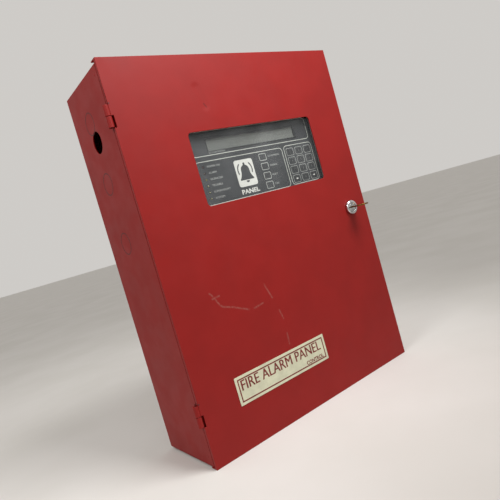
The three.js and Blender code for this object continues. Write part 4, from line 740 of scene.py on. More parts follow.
def build_cabinet_marks():
    """Weld dimples on the side walls, and over each relief notch above the door's knuckles a dark disc:
    painted shade standing for the notch's hole.
    """
    low, high, _ = span_of("back_box")
    bm = bmesh.new()
    for z in (high.z - WELD_INSET, low.z + WELD_INSET):
        for out in (-1, 1):
            profile = [(r, out * h) for r, h in WELD_PROFILE]
            add_turned(bm, profile, out * high.x, DOOR_FRONT + WELD_FROM_FRONT, z, "X", 16)
    make_piece("wall_weld_marks", bm, BOX_PAINT)
    bm = bmesh.new()
    # dark discs of painted shade for the relief holes above the knuckles
    for pin in ("upper_hinge_pin", "lower_hinge_pin"):
        axis = span_of(pin)[2]
        add_turned(bm, RELIEF_PROFILE, axis.x + RELIEF_FROM_AXIS, DOOR_FRONT, axis.z + RELIEF_RISE, "Y", 14)
    make_piece("hinge_relief_hole_shade", bm, RELIEF_HOLE_SHADE, "door")


def build_knockout_rings():
    """The dark ring round each knockout: partly painted shade in its groove, partly the sheared edge where
    the paint has cracked to dark metal.
    """
    high = span_of("back_box")[1]
    bm = bmesh.new()
    for i in range(3):
        drop = KNOCKOUT_DROP + i * KNOCKOUT_PITCH
        add_flat_ring(bm, (-high.x, -KNOCKOUT_FROM_WALL, high.z - drop), "X", -1)
    for i in range(3):
        add_flat_ring(bm, ((i - 1) * TOP_KNOCKOUT_PITCH, -KNOCKOUT_FROM_WALL, high.z), "Z", 1)
    make_piece("knockout_rings", bm, SHEARED_EDGE_AND_SHADE)


def add_flat_ring(bm, centre, axis, out):
    """A knockout's thin ring on a wall, standing a hair proud of it towards out."""
    inner, outer = KNOCKOUT_RADIUS - KNOCKOUT_LINE / 2, KNOCKOUT_RADIUS + KNOCKOUT_LINE / 2
    back, front = -out * SUNK, out * SUNK
    profile = [(inner, back), (outer, back), (outer, front), (inner, front)]
    add_turned(bm, profile, *centre, axis, 40, "joined")


def build_label():
    """The label's border and words. The words are generic."""
    low, high, centre = span_of("door_label")
    width, height = high.x - low.x, high.z - low.z
    y0, y1 = low.y - INK, low.y + SUNK
    bm = bmesh.new()
    add_outline_frame(bm, (width - LABEL_BORDER, height - LABEL_BORDER), LABEL_BORDER_CORNER,
                      (centre.x, centre.z), LABEL_LINE, y0, y1)
    for side in (-1, 1):
        x = centre.x + TITLE_SHIFT + side * STRIKE
        step = side * STRIKE * STRIKE_STEP  # keeps the two strikes' faces apart
        add_text(bm, "FIRE ALARM PANEL", x, high.z - TITLE_DROP, TITLE_HEIGHT, y0 - step, y1,
                 width - LABEL_SIDES, "CENTRE")
    add_text(bm, "CONTROL", high.x - SUBTITLE_FROM_RIGHT, low.z + SUBTITLE_RISE, SUBTITLE_HEIGHT, y0, y1,
             SUBTITLE_WIDTH, "CENTRE", 0.03)
    make_piece("label_print", bm, LABEL_INK, "door")


def build_lock():
    """The lock's chrome head and threaded barrel."""
    low, high, centre = span_of("lock_body")
    head = (high.x - low.x) / 2
    barrel = head - LOCK_RIM
    flat = head - LOCK_DOME
    profile = [(LOCK_BORE, high.y), (LOCK_BORE, low.y + 0.3), (LOCK_BORE + 0.4, low.y),
               (flat - 0.8, low.y + 0.05)]
    for i in range(9):
        angle = i / 8 * math.pi / 2
        profile.append((flat + LOCK_DOME * math.sin(angle), low.y + 0.12 + LOCK_DOME * (1 - math.cos(angle))))
    seat = DOOR_FRONT - 0.05
    profile += [(head, seat - 0.2), (head - 0.2, seat), (barrel, seat)]
    thread_start = DOOR_FRONT + LOCK_THREAD_START
    for i in range(int((high.y - 0.5 - thread_start) / LOCK_THREAD_PITCH)):
        y = thread_start + i * LOCK_THREAD_PITCH
        profile += [(barrel, y), (barrel - LOCK_THREAD_DEPTH, y + LOCK_THREAD_PITCH / 2)]
    profile += [(barrel, high.y - 0.4), (barrel - 0.4, high.y)]
    bm = bmesh.new()
    add_turned(bm, profile, centre.x, 0.0, centre.z, "Y", 40, "joined")
    smooth(make_piece("lock_head", bm, CHROME, "door", ("lock_body",)))


def build_retainer_nuts():
    """A washer and nut on each of the window's studs."""
    low, high, centre = span_of("window_retainer")
    bm = bmesh.new()
    for x in (low.x + RETAINER_NUT_INSET, centre.x, high.x - RETAINER_NUT_INSET):
        for z in (low.z + RETAINER_NUT_INSET, high.z - RETAINER_NUT_INSET):
            add_washer_and_nut(bm, (x, high.y + 0.02, z), (1.55, 3.4, 3.2), (0.5, 0.55, 2.6), 18)
    make_piece("retainer_nuts", bm, ZINC, "door", edge=0.15)


# ---- Display print, buttons and lamps ----


def overlay_print():
    """The window's centre, and the front and back of what is printed on the overlay."""
    overlay = span_of("key_5")[0].y + CAP_PROUD
    return span_of("window_pane")[2], overlay - INK, overlay + SUNK


def build_overlay_frames():
    centre, y0, y1 = overlay_print()
    bm = bmesh.new()
    for left, right, bottom, top in OVERLAY_FRAMES:
        place = (centre.x + (left + right) / 2, centre.z + (bottom + top) / 2)
        add_outline_frame(bm, (right - left, top - bottom), FRAME_CORNER, place, LINE, y0, y1)
    make_piece("overlay_frames", bm, BRIGHT_INK)


def build_legends():
    """The words beside the lamps and the function buttons, and under the display. They are generic."""
    centre, y0, y1 = overlay_print()
    bm = bmesh.new()
    for node, legends, shift, (letter, height) in (
        ("led", LAMP_WORDS, LAMP_WORDS_SHIFT, LAMP_LETTER),
        ("function_button", BUTTON_WORDS, BUTTON_WORDS_SHIFT, BUTTON_LETTER),
    ):
        for i, words in enumerate(legends):
            place = span_of(f"{node}_{i + 1}")[2]
            add_text(bm, words, place.x + shift[0], place.z + shift[1], height, y0, y1, letter * len(words))
    x, z = centre.x + STATUS_PLACE[0], centre.z + STATUS_PLACE[1]
    width, height = STATUS_SIZE
    add_text(bm, "SYSTEM STATUS", x, z, height, y0, y1, width, bold=0.01)
    left, right, bottom, top = STATUS_TICK
    add_block(bm, centre.x + left, centre.x + right, y0, y1, centre.z + bottom, centre.z + top)
    make_piece("overlay_legends", bm, DIM_INK)


def build_emblem():
    """A pale plate with a plain bell, and a generic word beneath it."""
    centre, y0, y1 = overlay_print()
    x, z = centre.x + EMBLEM_PLACE[0], centre.z + EMBLEM_PLACE[1]
    width, height = EMBLEM_WORD_SIZE
    bm = bmesh.new()
    add_prism(bm, rounded(*EMBLEM_SIZE, EMBLEM_CORNER, x, z), y0, y1)
    add_text(bm, "PANEL", x + 0.3, centre.z + EMBLEM_WORD_DROP, height, y0, y1, width, "CENTRE", 0.035)
    make_piece("emblem_plate", bm, WHITE_INK)
    build_bell(x, z, y0)


def build_bell(x, z, face):
    """A plain bell, with a clapper and a sound arc on each side."""
    y0, y1 = face - INK, face + SUNK
    bm = bmesh.new()
    steps = 8
    shares = [i / steps for i in range(steps + 1)]
    dome = [(BELL_RADIUS * math.cos(a), BELL_SHOULDER + BELL_RADIUS * math.sin(a))
            for a in (share * math.pi / 2 for share in shares[:-1])]
    skirt = [(BELL_RADIUS + BELL_FLARE * t**2.4, BELL_SHOULDER + (BELL_RIM - BELL_SHOULDER) * t)
             for t in shares[1:]]
    right = [(0.0, BELL_SHOULDER + BELL_RADIUS), *reversed(dome), *skirt,
             (BELL_RADIUS + BELL_FLARE, BELL_RIM - 1.6)]
    left = [(-a, b) for a, b in reversed(right[1:])]
    add_prism(bm, [(x + a, z + b) for a, b in right + left], y0, y1)
    clapper = [(x + BELL_CLAPPER * math.cos(a), z + BELL_RIM - BELL_CLAPPER + BELL_CLAPPER * math.sin(a))
               for a in (math.pi * (1 + share) for share in shares)]
    add_prism(bm, clapper, y0, y1)
    add_prism(bm, rounded(3.4, 4.0, 1.2, x, z + BELL_SHOULDER + BELL_RADIUS + 1.2), y0, y1 - 0.01)
    angles = [math.radians(a) for a in range(-24, 49, 8)]
    for side in (-1, 1):
        arc = [(x + side * radius * math.cos(a), z + BELL_SHOULDER + radius * math.sin(a))
               for radius, row in zip(BELL_ARC_RADII, (angles, angles[::-1])) for a in row]
        add_prism(bm, arc, y0, y1)
    make_piece("emblem_bell", bm, EMBLEM_INK)


def build_display_film():
    """The overlay's smoked window over the display."""
    centre = span_of("lcd_module")[2]
    overlay = span_of("faceplate")[0].y
    front, back = (overlay - depth for depth in FILM_DEPTHS)
    bm = bmesh.new()
    add_prism(bm, rounded(FILM_WIDTH, FILM_HEIGHT, FILM_CORNER, centre.x, centre.z), front, back)
    make_piece("display_film", bm, FILM)


def nodes_called(start):
    """Every node whose name starts so, with its corners and middle."""
    return [(node, *span_of(node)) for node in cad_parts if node.startswith(start)]


def build_key_outlines():
    """The outline printed on the overlay round each key's opening."""
    _, y0, y1 = overlay_print()
    bm = bmesh.new()
    for _, low, high, centre in nodes_called("key_"):
        size = (high.x - low.x + KEY_OUTLINE_GROWTH[0], high.z - low.z + KEY_OUTLINE_GROWTH[1])
        add_outline_frame(bm, size, KEY_OUTLINE_CORNER, (centre.x, centre.z), KEY_OUTLINE_LINE, y0, y1)
    make_piece("key_outlines", bm, KEY_INK)


def build_button_outlines():
    """Each function button's outline, which rides on the button."""
    for node, low, high, centre in nodes_called("function_button_"):
        bm = bmesh.new()
        size = (high.x - low.x - BUTTON_OUTLINE_INSET, high.z - low.z - BUTTON_OUTLINE_INSET)
        place = (centre.x, centre.z)
        add_outline_frame(bm, size, BUTTON_OUTLINE_CORNER, place, LINE, low.y - INK, low.y + SUNK)
        make_piece(f"{node}_print", bm, DIM_INK, f"{node}_body")


def build_key_marks():
    """Each key's dark patch, and its digit or arrow on top. They ride on the key."""
    for node, low, _, centre in nodes_called("key_"):
        bm = bmesh.new()
        patch = rounded(*KEY_PATCH_SIZE, KEY_PATCH_CORNER, centre.x, centre.z)
        add_prism(bm, patch, low.y - INK + 0.03, low.y + SUNK)
        make_piece(f"{node}_patch", bm, KEY_PATCH, f"{node}_body")
        y0, y1 = low.y - INK - 0.01, low.y + SUNK
        mark = node[len("key_"):]
        side = {"left": -1, "right": 1}.get(mark)
        bm = bmesh.new()
        if side:
            add_prism(bm, [(centre.x + side * dx, centre.z + dz) for dx, dz in ARROW], y0, y1)
        else:
            z = centre.z - DIGIT_HEIGHT / 2
            add_text(bm, mark, centre.x, z, DIGIT_HEIGHT, y0, y1, None, "CENTRE", 0.01)
        make_piece(f"{node}_mark", bm, WHITE_INK if side else DIGIT_INK, f"{node}_body")


def build_lamps():
    """Each indicator: a domed lens with a collar. The first two are red."""
    for i in range(6):
        node = f"led_{i + 1}"
        low, high, centre = span_of(node)
        profile = [(LENS_RADIUS * math.sin(a), low.y + LENS_RADIUS * (1 - math.cos(a)))
                   for a in (k / 6 * math.pi / 2 for k in range(7))]
        profile += [(r, high.y + h) for r, h in LAMP_COLLAR]
        bm = bmesh.new()
        add_turned(bm, profile, centre.x, 0.0, centre.z)
        material, slot = (RED_LENS, "red_lamp") if i < 2 else (GREEN_LENS, "green_lamp")
        smooth(make_piece(f"lamp_{i + 1}", bm, material, replaces=(node,)))


# ---- Parts on the boards ----

PIN_PITCH = 2.54
PIN_HALF = 0.35
LEAD_RADIUS = 0.3
BOARD_FINISHES = {  # what is soldered to a board: material, slot, bevel
    "chips": (CHIP, "black_plastic", 0.2),
    "leads": (SOLDER, "zinc_plated_steel", 0.0),
    "resistors": (RESISTOR_TAN, "cream_label", 0.0),
    "capacitors": (SLEEVE, "capacitor_sleeve", 0.0),
    "cans": (ALUMINIUM_CAN, "zinc_plated_steel", 0.0),
    "relays": (RELAY_BLUE, "black_plastic", 0.5),
    "headers": (WHITE_NYLON, "cream_label", 0.15),
    "buzzer": (BLACK, "black_plastic", 0.2),
    "switches": (SWITCH_RED, "red_lamp", 0.15),
}


def new_parts(*kinds):
    return {kind: bmesh.new() for kind in kinds}


def make_board_parts(board, parts, chip_edge=0.2):
    """One piece for each kind of part on a board."""
    for kind, bm in parts.items():
        material, slot, edge = BOARD_FINISHES[kind]
        edge = chip_edge if kind == "chips" else edge
        make_piece(f"{board}_{kind}", bm, material, edge=edge, merge=edge > 0)


def add_post(bm, x, z, half, y0, y1):
    add_block(bm, x - half, x + half, y0, y1, z - half, z + half)


def add_screw(bm, x, y, z, radius, height):
    """A pan head with a recess, along Y, its seat at y."""
    shape = [(1.0, 0.0), (1.0, -0.45), (0.8, -0.85), (0.45, -1.0), (0.42, -0.55), (0.0, -0.5)]
    add_turned(bm, [(radius * r, height * h) for r, h in shape], x, y, z, "Y", 16)


def add_slotted(bm, x, y, z, radius, height):
    """A slotted terminal screw along Y: a disc, and two half heads on it with the slot between them."""
    add_turned(bm, [(radius, 0.0), (radius, -0.5 * height), (0.0, -0.5 * height)], x, y, z, "Y", 16)
    slot = 0.25  # radians that the slot takes at each end of a half head
    steps = 8
    for start in (slot, slot + math.pi):
        angles = [start + i / steps * (math.pi - 2 * slot) for i in range(steps + 1)]
        half = [(x + radius * math.cos(a), z + radius * math.sin(a)) for a in angles]
        add_prism(bm, half, y - height, y - 0.45 * height)


def add_chip(parts, x, z, face, length, width, height):
    """A dual in-line chip with a notch at its left end and its pins along both sides."""
    notch = 1.2
    half_x, half_z = length / 2, width / 2
    outline = [(-half_x, -half_z), (half_x, -half_z), (half_x, half_z), (-half_x, half_z), (-half_x, notch),
               (-half_x + notch, 0), (-half_x, -notch)]
    add_prism(parts["chips"], [(x + a, z + b) for a, b in outline], face - height, face - 0.5)
    count = int((length - 1.5) / PIN_PITCH)
    for i in range(count + 1):
        for side in (-1, 1):
            pin_x, pin_z = x + (i - count / 2) * PIN_PITCH, z + side * (half_z + 0.3)
            add_post(parts["leads"], pin_x, pin_z, PIN_HALF, face - height * 0.6, face + SUNK)


def add_resistor(parts, x, z, face, length, upright=True):
    """An axial resistor: a waisted body and its two bent leads."""
    radius, half = length / 6, length / 2
    end = [(radius * 0.8, length / 5), (radius, half - 1.2), (radius * 0.9, half - 0.3), (0.0, half)]
    y = face - radius - 0.2
    profile = [(r, -h) for r, h in reversed(end)] + end
    add_turned(parts["resistors"], profile, x, y, z, "Z" if upright else "X", 12)
    for side in (-1, 1):
        bend = [(side * (half - 0.2), y), (side * (half + 1.1), y), (side * (half + 1.6), face + SUNK)]
        path = [(x, b, z + a) if upright else (x + a, b, z) for a, b in bend]
        add_tube(parts["leads"], path, LEAD_RADIUS, 6, 3)


def add_can(parts, x, z, face, radius, length):
    """An electrolytic capacitor standing on a board: a sleeve with a groove, and a metal top."""
    sleeve = [(0.0, SUNK), (radius * 0.97, SUNK), (radius, -0.4), (radius, -1.2), (radius * 0.9, -1.8),
              (radius, -2.4), (radius, 0.5 - length), (radius * 0.93, -length), (0.0, -length)]
    top = [(0.0, 0.2 - length), (radius * 0.82, 0.2 - length), (radius * 0.8, -length - 0.12),
           (0.0, -length - 0.12)]
    add_turned(parts["capacitors"], sleeve, x, face, z, "Y", 20)
    add_turned(parts["cans"], top, x, face, z, "Y", 20)


# ---- Main board ----

LOGIC_CHIP = (20, 6.6, 3.6)  # length, width and height
LOGIC_FIRST_X = 38
LOGIC_PITCH = (26, 19)
LOGIC_RISE = 22
MEMORY_CHIP = (36, 14, 4.2)
MEMORY_DROP = 32
ZONES = 14
ZONE_FIRST_X = 14
ZONE_PITCH = 8.6
ZONE_DISC = [(0.0, 0.0), (2.6, -0.4), (3.1, -1.8), (2.6, -3.2), (0.0, -3.6)]
ZONE_DISC_OUT = 3.4
RELAYS = 6
RELAY_FIRST_X = 22
RELAY_PITCH = 20.5
RELAY_SIZE = (16, 20)
RELAY_HEIGHT = 13
BUZZER_X = 120
BUZZER = [(0.0, SUNK), (12, SUNK), (12, -8.4), (11.2, -9.0), (2.0, -9.0), (1.8, -7.6), (0.0, -7.6)]
COIN_CELL_X = 92
COIN_CELL = [(0.0, -1.0), (10, -1.0), (10, -3.4), (9.4, -4.0), (0.0, -4.0)]
SWITCH_BANK = (-134, -112, -42, -32)  # left, right, then bottom and top from the board's top
SWITCH_PITCH = 2.5
HEADERS = ((-88, 8), (60, 6))  # left end and poles
HEADER_PITCH = 3.96
STATUS_LENS = [(1.5, SUNK), (1.5, -3.4), (1.3, -4.3), (0.8, -4.9), (0.0, -5.1)]


def add_zone_parts(parts, x, z, face, turned):
    """One zone's protection: a resistor, a disc and the disc's lead."""
    add_resistor(parts, x, z + 12, face, 7.5)
    x, y = x + 3.6, face - ZONE_DISC_OUT
    add_turned(parts["capacitors"], ZONE_DISC, x, y, z + 24, "Z" if turned else "X", 14)
    add_tube(parts["leads"], [(x, y, z + 23), (x, face + SUNK, z + 20)], LEAD_RADIUS, 6, 3)


def add_relay(parts, x, z, face):
    """A relay with one of its pins, and the resistor above it."""
    add_prism(parts["relays"], rounded(*RELAY_SIZE, 0.8, x, z, 2), face - RELAY_HEIGHT, face - 0.3)
    add_block(parts["leads"], x - 6, x - 5.4, face - 0.4, face + SUNK, z - 9, z - 8)
    add_resistor(parts, x, z + 16, face, 6.5, upright=False)


def add_address_switches(parts, face, top):
    left, right, bottom, end = SWITCH_BANK
    add_block(parts["switches"], left, right, face - 5.5, face + SUNK, top + bottom, top + end)
    for i in range(8):
        x = left + 2.4 + i * SWITCH_PITCH
        z = top + (bottom + end) / 2 + (1.3 if i % 3 else -1.3)
        add_block(parts["headers"], x, x + 1.3, face - 6.3, face - 5.3, z - 1.1, z + 1.1)


def add_header(parts, x, poles, face, top):
    """A plug header: its base, its locking wall and its pins."""
    right = x + poles * HEADER_PITCH
    add_block(parts["headers"], x, right, face - 3.2, face + SUNK, top - 36, top - 28)
    add_block(parts["headers"], x, right, face - 9.5, face - 3.1, top - 29.4, top - 28)
    for i in range(poles):
        add_post(parts["leads"], x + (i + 0.5) * HEADER_PITCH, top - 32.3, 0.5, face - 10.5, face - 3)


def build_main_board():
    """What is soldered to the main board above its field terminals."""
    rng = random.Random(SEED)
    low, high, _ = span_of("main_board")
    _, chip_high, chip = span_of("processor_chip")
    face = chip_high.y + 0.05
    strip_top = span_of("zone_terminal_strip")[1].z
    parts = new_parts(*BOARD_FINISHES)

    length, width, height = LOGIC_CHIP
    for side in (-1, 1):
        for column in range(3):
            for row in range(3):
                x = side * (LOGIC_FIRST_X + column * LOGIC_PITCH[0])
                add_chip(parts, x, chip.z + LOGIC_RISE - row * LOGIC_PITCH[1], face, length, width, height)
    add_chip(parts, 0, chip.z - MEMORY_DROP, face, *MEMORY_CHIP)
    for i in range(ZONES):
        add_zone_parts(parts, low.x + ZONE_FIRST_X + i * ZONE_PITCH, strip_top, face, i % 2)
    for i in range(RELAYS):
        add_relay(parts, RELAY_FIRST_X + i * RELAY_PITCH, strip_top + 16, face)
    for i in range(7):
        x = -120 + i * 13 + rng.uniform(-1, 1)
        z = high.z - 14 - rng.uniform(0, 3)
        add_can(parts, x, z, face, rng.choice((3.2, 4.0)), rng.choice((8, 11)))
    for i in range(9):
        add_resistor(parts, 34 + i * 5.2, high.z - 14, face, 7.0)
    add_turned(parts["buzzer"], BUZZER, BUZZER_X, face, high.z - 22, "Y", 36)
    add_turned(parts["cans"], COIN_CELL, COIN_CELL_X, face, high.z - 46, "Y", 30)
    clip = (COIN_CELL_X - 2, COIN_CELL_X + 2, face - 4.6, face + SUNK, high.z - 58, high.z - 34.5)
    add_block(parts["headers"], *clip)
    crystal = rounded(11, 4.4, 2.1, 0, chip_high.z + 8)
    add_prism(parts["cans"], crystal, face - 3.6, face - 0.2)
    add_address_switches(parts, face, high.z)
    for x, poles in HEADERS:
        add_header(parts, x, poles, face, high.z)
    for i in range(5):
        add_turned(parts["switches"], STATUS_LENS, -132, face, strip_top + 40 + i * 7, "Y", 14)
    make_board_parts("main_board", parts)


# ---- Power board and display board ----

REGULATOR_FIRST_X = 33
REGULATOR_PITCH = 20
REGULATOR_PINS = (-2.5, 0, 2.5)


def build_power_board():
    """The regulators, rectifier and smaller capacitors of the power board, and the big capacitor's top."""
    low, _, centre = span_of("power_board")
    face = low.y
    parts = new_parts("chips", "leads", "resistors", "capacitors", "cans")
    for i in range(3):
        x = centre.x + REGULATOR_FIRST_X + i * REGULATOR_PITCH
        add_block(parts["chips"], x - 5, x + 5, face - 16, face - 5, centre.z + 22.4, centre.z + 27)
        for pin in REGULATOR_PINS:
            lead = [(x + pin, y, centre.z + 24) for y in (face - 5.5, face + SUNK)]
            add_tube(parts["leads"], lead, 0.4, 6, 2)
    add_prism(parts["chips"], rounded(15, 15, 1.5, centre.x - 8, centre.z + 20), face - 6, face - 0.2)
    for i in range(4):
        add_can(parts, centre.x - 84 + i * 12, low.z + 12, face, 5.0, 16)
    for i in range(8):
        add_resistor(parts, centre.x - 20 + i * 6, low.z + 12, face, 8.0)
    make_board_parts("power_board", parts, chip_edge=0.3)
    low, high, centre = span_of("filter_capacitor")
    rim = (high.x - low.x) / 2 - 1.4
    top = [(0.0, 0.1), (rim, 0.1), (rim, -0.15), (rim - 1.2, -0.1), (0.6, -0.1), (0.0, 0.0)]
    bm = bmesh.new()
    add_turned(bm, top, centre.x, low.y, centre.z, "Y", 32)
    make_piece("filter_capacitor_top", bm, ALUMINIUM_CAN, merge=False)


def build_display_board():
    """The chips on the display board's back."""
    low, high, centre = span_of("display_board")
    face = high.y
    parts = new_parts("chips", "leads")
    for i in range(4):
        x, z = low.x + 40 + i * 44, centre.z - 10
        add_prism(parts["chips"], rounded(20, 6.6, 0.4, x, z, 1), face + 0.4, face + 3.8)
        for k in range(8):
            for side in (-1, 1):
                pin_x, pin_z = x - 8.9 + k * PIN_PITCH, z + side * 3.6
                add_post(parts["leads"], pin_x, pin_z, 0.3, face - SUNK, face + 2.0)
    make_board_parts("display_board", parts)


def build_ribbon_plug():
    """The plug at the ribbon's lower end, in two halves."""
    low, high, _ = span_of("ribbon_cable")
    board_low, board_high, _ = span_of("main_board")
    left, right = low.x - 2.5, high.x + 2.5
    face, z = board_low.y, board_high.z - 9
    bm = bmesh.new()
    for front, back, half in ((-1.6, 1.5, 3.4), (-4.6, -2.2, 2.8)):
        add_block(bm, left, right, face + front, face + back, z - half, z + half)
    make_piece("ribbon_plug", bm, BLACK, edge=0.3)


# ---- Terminals and fasteners ----

POLE_STEP = 5  # how far the screws lie behind a strip's front
MAINS_PITCH = 11
TERMINALS = [  # piece, strip, pitch, screw radius
    ("zone_terminal_screws", "zone_terminal_strip", 9, 2.5),
    ("relay_terminal_screws", "relay_terminal_strip", 9, 2.5),
    ("mains_terminal_screws", "ac_terminal_block", MAINS_PITCH, 3.0),
]
STRIP_END = 0.5
PLATE_THICKNESS = 1.5
BOARD_THICKNESS = 1.6
BRACKET_THICKNESS = 1.2
CORNER_INSET = 5
STRAP_SCREW = [(0.0, -SUNK), (3.4, 0.0), (3.4, 1.2), (2.6, 2.2), (0.0, 2.4)]
DISPLAY_SCREW_X = 143
DISPLAY_SCREW_INSET = 14


def build_terminals():
    """The clamp and screw of every pole on the three terminal strips."""
    for name, node, pitch, radius in TERMINALS:
        low, high, _ = span_of(node)
        bm = bmesh.new()
        height = high.z - low.z - POLE_STEP
        seat = low.y + POLE_STEP
        for i in range(round((high.x - low.x - 2 * STRIP_END) / pitch)):
            x, z = low.x + STRIP_END + (i + 0.5) * pitch, low.z + height / 2
            add_prism(bm, rounded(pitch - 2.2, height - 1.2, 0.6, x, z, 2), seat - 0.7, seat + SUNK)
            add_slotted(bm, x, seat - 0.7, z, radius, 2.0)
        make_piece(name, bm, STEEL, edge=0.1)


def build_fasteners():
    """Screws at the boards' corners, nuts on the chassis studs, and screws at the strap and the display."""
    bm = bmesh.new()
    for node in ("main_board", "power_board"):
        low, high, _ = span_of(node)
        for x in (low.x + CORNER_INSET, high.x - CORNER_INSET):
            for z in (low.z + CORNER_INSET, high.z - CORNER_INSET):
                add_screw(bm, x, high.y - BOARD_THICKNESS, z, 2.8, 1.9)
    make_piece("board_screws", bm, STEEL, merge=False)

    bm = bmesh.new()
    low, high, _ = span_of("chassis_plate")
    face = high.y - PLATE_THICKNESS - 0.02
    for x in (low.x + 22, high.x - 22):
        for z in (low.z + CORNER_INSET, high.z - CORNER_INSET):
            add_washer_and_nut(bm, (x, face, z), (2.6, 5.5, 4.6), (-0.9, -0.93, -4.58), 20)
    low, high, centre = span_of("battery_bracket")
    for side, x in ((1, low.x + BRACKET_THICKNESS), (-1, high.x - BRACKET_THICKNESS)):
        for y in (low.y + 9, low.y + 20):
            add_turned(bm, [(r, side * h) for r, h in STRAP_SCREW], x, y, centre.z, "X", 16)
    low, high, _ = span_of("display_bracket")
    for x in (-DISPLAY_SCREW_X, DISPLAY_SCREW_X):
        for z in (low.z + DISPLAY_SCREW_INSET, high.z - DISPLAY_SCREW_INSET):
            add_screw(bm, x, high.y - BRACKET_THICKNESS, z, 3.0, 2.0)
    make_piece("cabinet_nuts", bm, ZINC, edge=0.15)


# ---- Transformer, leads and batteries ----

TRANSFORMER_FOOT = 9
TRANSFORMER_BAND = 1.2
STACK = 30
COIL_DEPTH = 50
YOKE = 8
WINDOW_OUTER = 21  # the coil's windows in the core, out from its middle
WINDOW_INNER = 13
LEAD_WIRE = 1.3
EARTH_WIRE = 1.5


def build_transformer():
    """A laminated core, a taped coil on a bobbin, and a strap with feet."""
    low, high, centre = span_of("transformer")
    x, z, back = centre.x, centre.z, high.y
    core_x = (high.x - low.x) / 2 - TRANSFORMER_FOOT
    core_z = (high.z - low.z) / 2
    core_back = back - (COIL_DEPTH - STACK) / 2
    core_front = core_back - STACK
    coil_front = back - COIL_DEPTH
    core, coil, bobbin, strap = (bmesh.new() for _ in range(4))
    for z0, z1 in ((core_z - YOKE, core_z), (-core_z, -core_z + YOKE)):
        add_block(core, x - core_x, x + core_x, core_front, core_back, z + z0, z + z1)
    for x0, x1 in ((-core_x, -WINDOW_OUTER), (WINDOW_OUTER, core_x), (1 - WINDOW_INNER, WINDOW_INNER - 1)):
        add_block(core, x + x0, x + x1, core_front, core_back, z - core_z + YOKE, z + core_z - YOKE)
    make_piece("transformer_core", core, CORE, replaces=("transformer",), edge=0.3)

    for y0, y1 in ((coil_front + 2, core_front), (core_back, back - 0.6)):
        add_prism(coil, rounded(2 * WINDOW_OUTER - 2, 2 * (core_z - 9.5), 4, x, z), y0, y1)
    height = 2 * (core_z - 9)
    outer = rounded(2 * WINDOW_OUTER - 1, height, 3, x, z)
    inner = rounded(2 * WINDOW_INNER, height - 14, 1, x, z)
    add_frame(coil, outer, inner, core_front, core_back)
    make_piece("transformer_coil", coil, TAPE, edge=0.6, merge=False)
    for y in (coil_front, coil_front + 13):
        add_prism(bobbin, rounded(2 * WINDOW_OUTER, 2 * (core_z - 8.2), 1.5, x, z), y, y + 1.4)
    make_piece("transformer_bobbin", bobbin, BLACK, edge=0.3)

    band_front = core_front - TRANSFORMER_BAND
    half = core_z / 2
    for side in (-1, 1):
        for near, far, front in ((core_x, core_x + TRANSFORMER_BAND, band_front),
                                 (core_x, core_x + TRANSFORMER_FOOT, back - TRANSFORMER_BAND)):
            x0, x1 = sorted((x + side * near, x + side * far))
            add_block(strap, x0, x1, front, back, z - half, z + half)
        screw_x = x + side * (core_x + TRANSFORMER_FOOT / 2 + 0.4)
        add_screw(strap, screw_x, back - TRANSFORMER_BAND, z, 3.2, 2.2)
    reach = core_x + TRANSFORMER_BAND
    for z0, z1 in ((4 - half, 12 - half), (half - 12, half - 4)):
        add_block(strap, x - reach, x + reach, band_front, core_front, z + z0, z + z1)
    make_piece("transformer_strap", strap, ZINC, edge=0.2, merge=False)


def make_lead(name, points, radius, material, steps=8):
    bm = bmesh.new()
    add_tube(bm, points, radius, steps=steps)
    make_piece(name, bm, material, merge=False)


def build_leads():
    """The mains leads from transformer to terminal block and fuse, and the earth lead to its stud."""
    coil_low, _, coil = span_of("transformer")
    block = span_of("ac_terminal_block")[0]
    fuse_low, _, fuse = span_of("fuse_holder")
    out = coil_low.y + 8
    pole_y = block.y + 2.5
    poles = [block.x + STRIP_END + (i + 0.5) * MAINS_PITCH for i in range(4)]
    clamps = [(x, pole_y, block.z + 1.5) for x in poles]
    for name, material, slot, offset, pole in (
        ("transformer_lead_black", BLACK_LEAD, "black_lead", -4, 0),
        ("transformer_lead_white", WHITE_LEAD, "cream_label", 3, 1),
    ):
        make_lead(name, [
            (coil.x + 19, out, coil.z + offset),
            (coil.x + 30, out - 6, coil.z + offset - 6),
            (poles[pole] - 18, out + 2, block.z - 9),
            (poles[pole] - 3, pole_y - 2, block.z - 8),
            clamps[pole],
        ], LEAD_WIRE, material)
    make_lead("fuse_lead_black", [
        clamps[2],
        (poles[2] + 2, pole_y - 3, block.z - 7),
        (fuse_low.x - 8, fuse_low.y + 2, fuse_low.z - 5),
        (fuse_low.x + 1.0, fuse_low.y + 5, fuse.z),
    ], LEAD_WIRE, BLACK_LEAD)

    stud_low, _, stud = span_of("ground_stud")
    eye_y = stud_low.y + 7.2
    bm = bmesh.new()
    add_turned(bm, [(2.7, 0.0), (4.8, 0.0), (4.8, -0.8), (2.7, -0.8)], stud.x, eye_y, stud.z, "Y", 20)
    add_block(bm, stud.x - 1.6, stud.x + 1.6, eye_y - 1.8, eye_y, stud.z + 4.4, stud.z + 10)
    make_piece("earth_lug", bm, ZINC, edge=0.15)
    wall = stud.x - 6
    make_lead("earth_lead_green", [
        (stud.x, eye_y - 0.9, stud.z + 9),
        (wall + 1, eye_y - 6, stud.z + 40),
        (wall - 2, eye_y - 10, stud.z + 150),
        (wall + 2, eye_y - 12, stud.z + 300),
        (wall + 20, eye_y - 22, block.z - 22),
        (poles[3] - 60, eye_y - 46, block.z - 14),
        (poles[3], pole_y - 3, block.z - 8),
        clamps[3],
    ], EARTH_WIRE, GREEN_LEAD, steps=12)


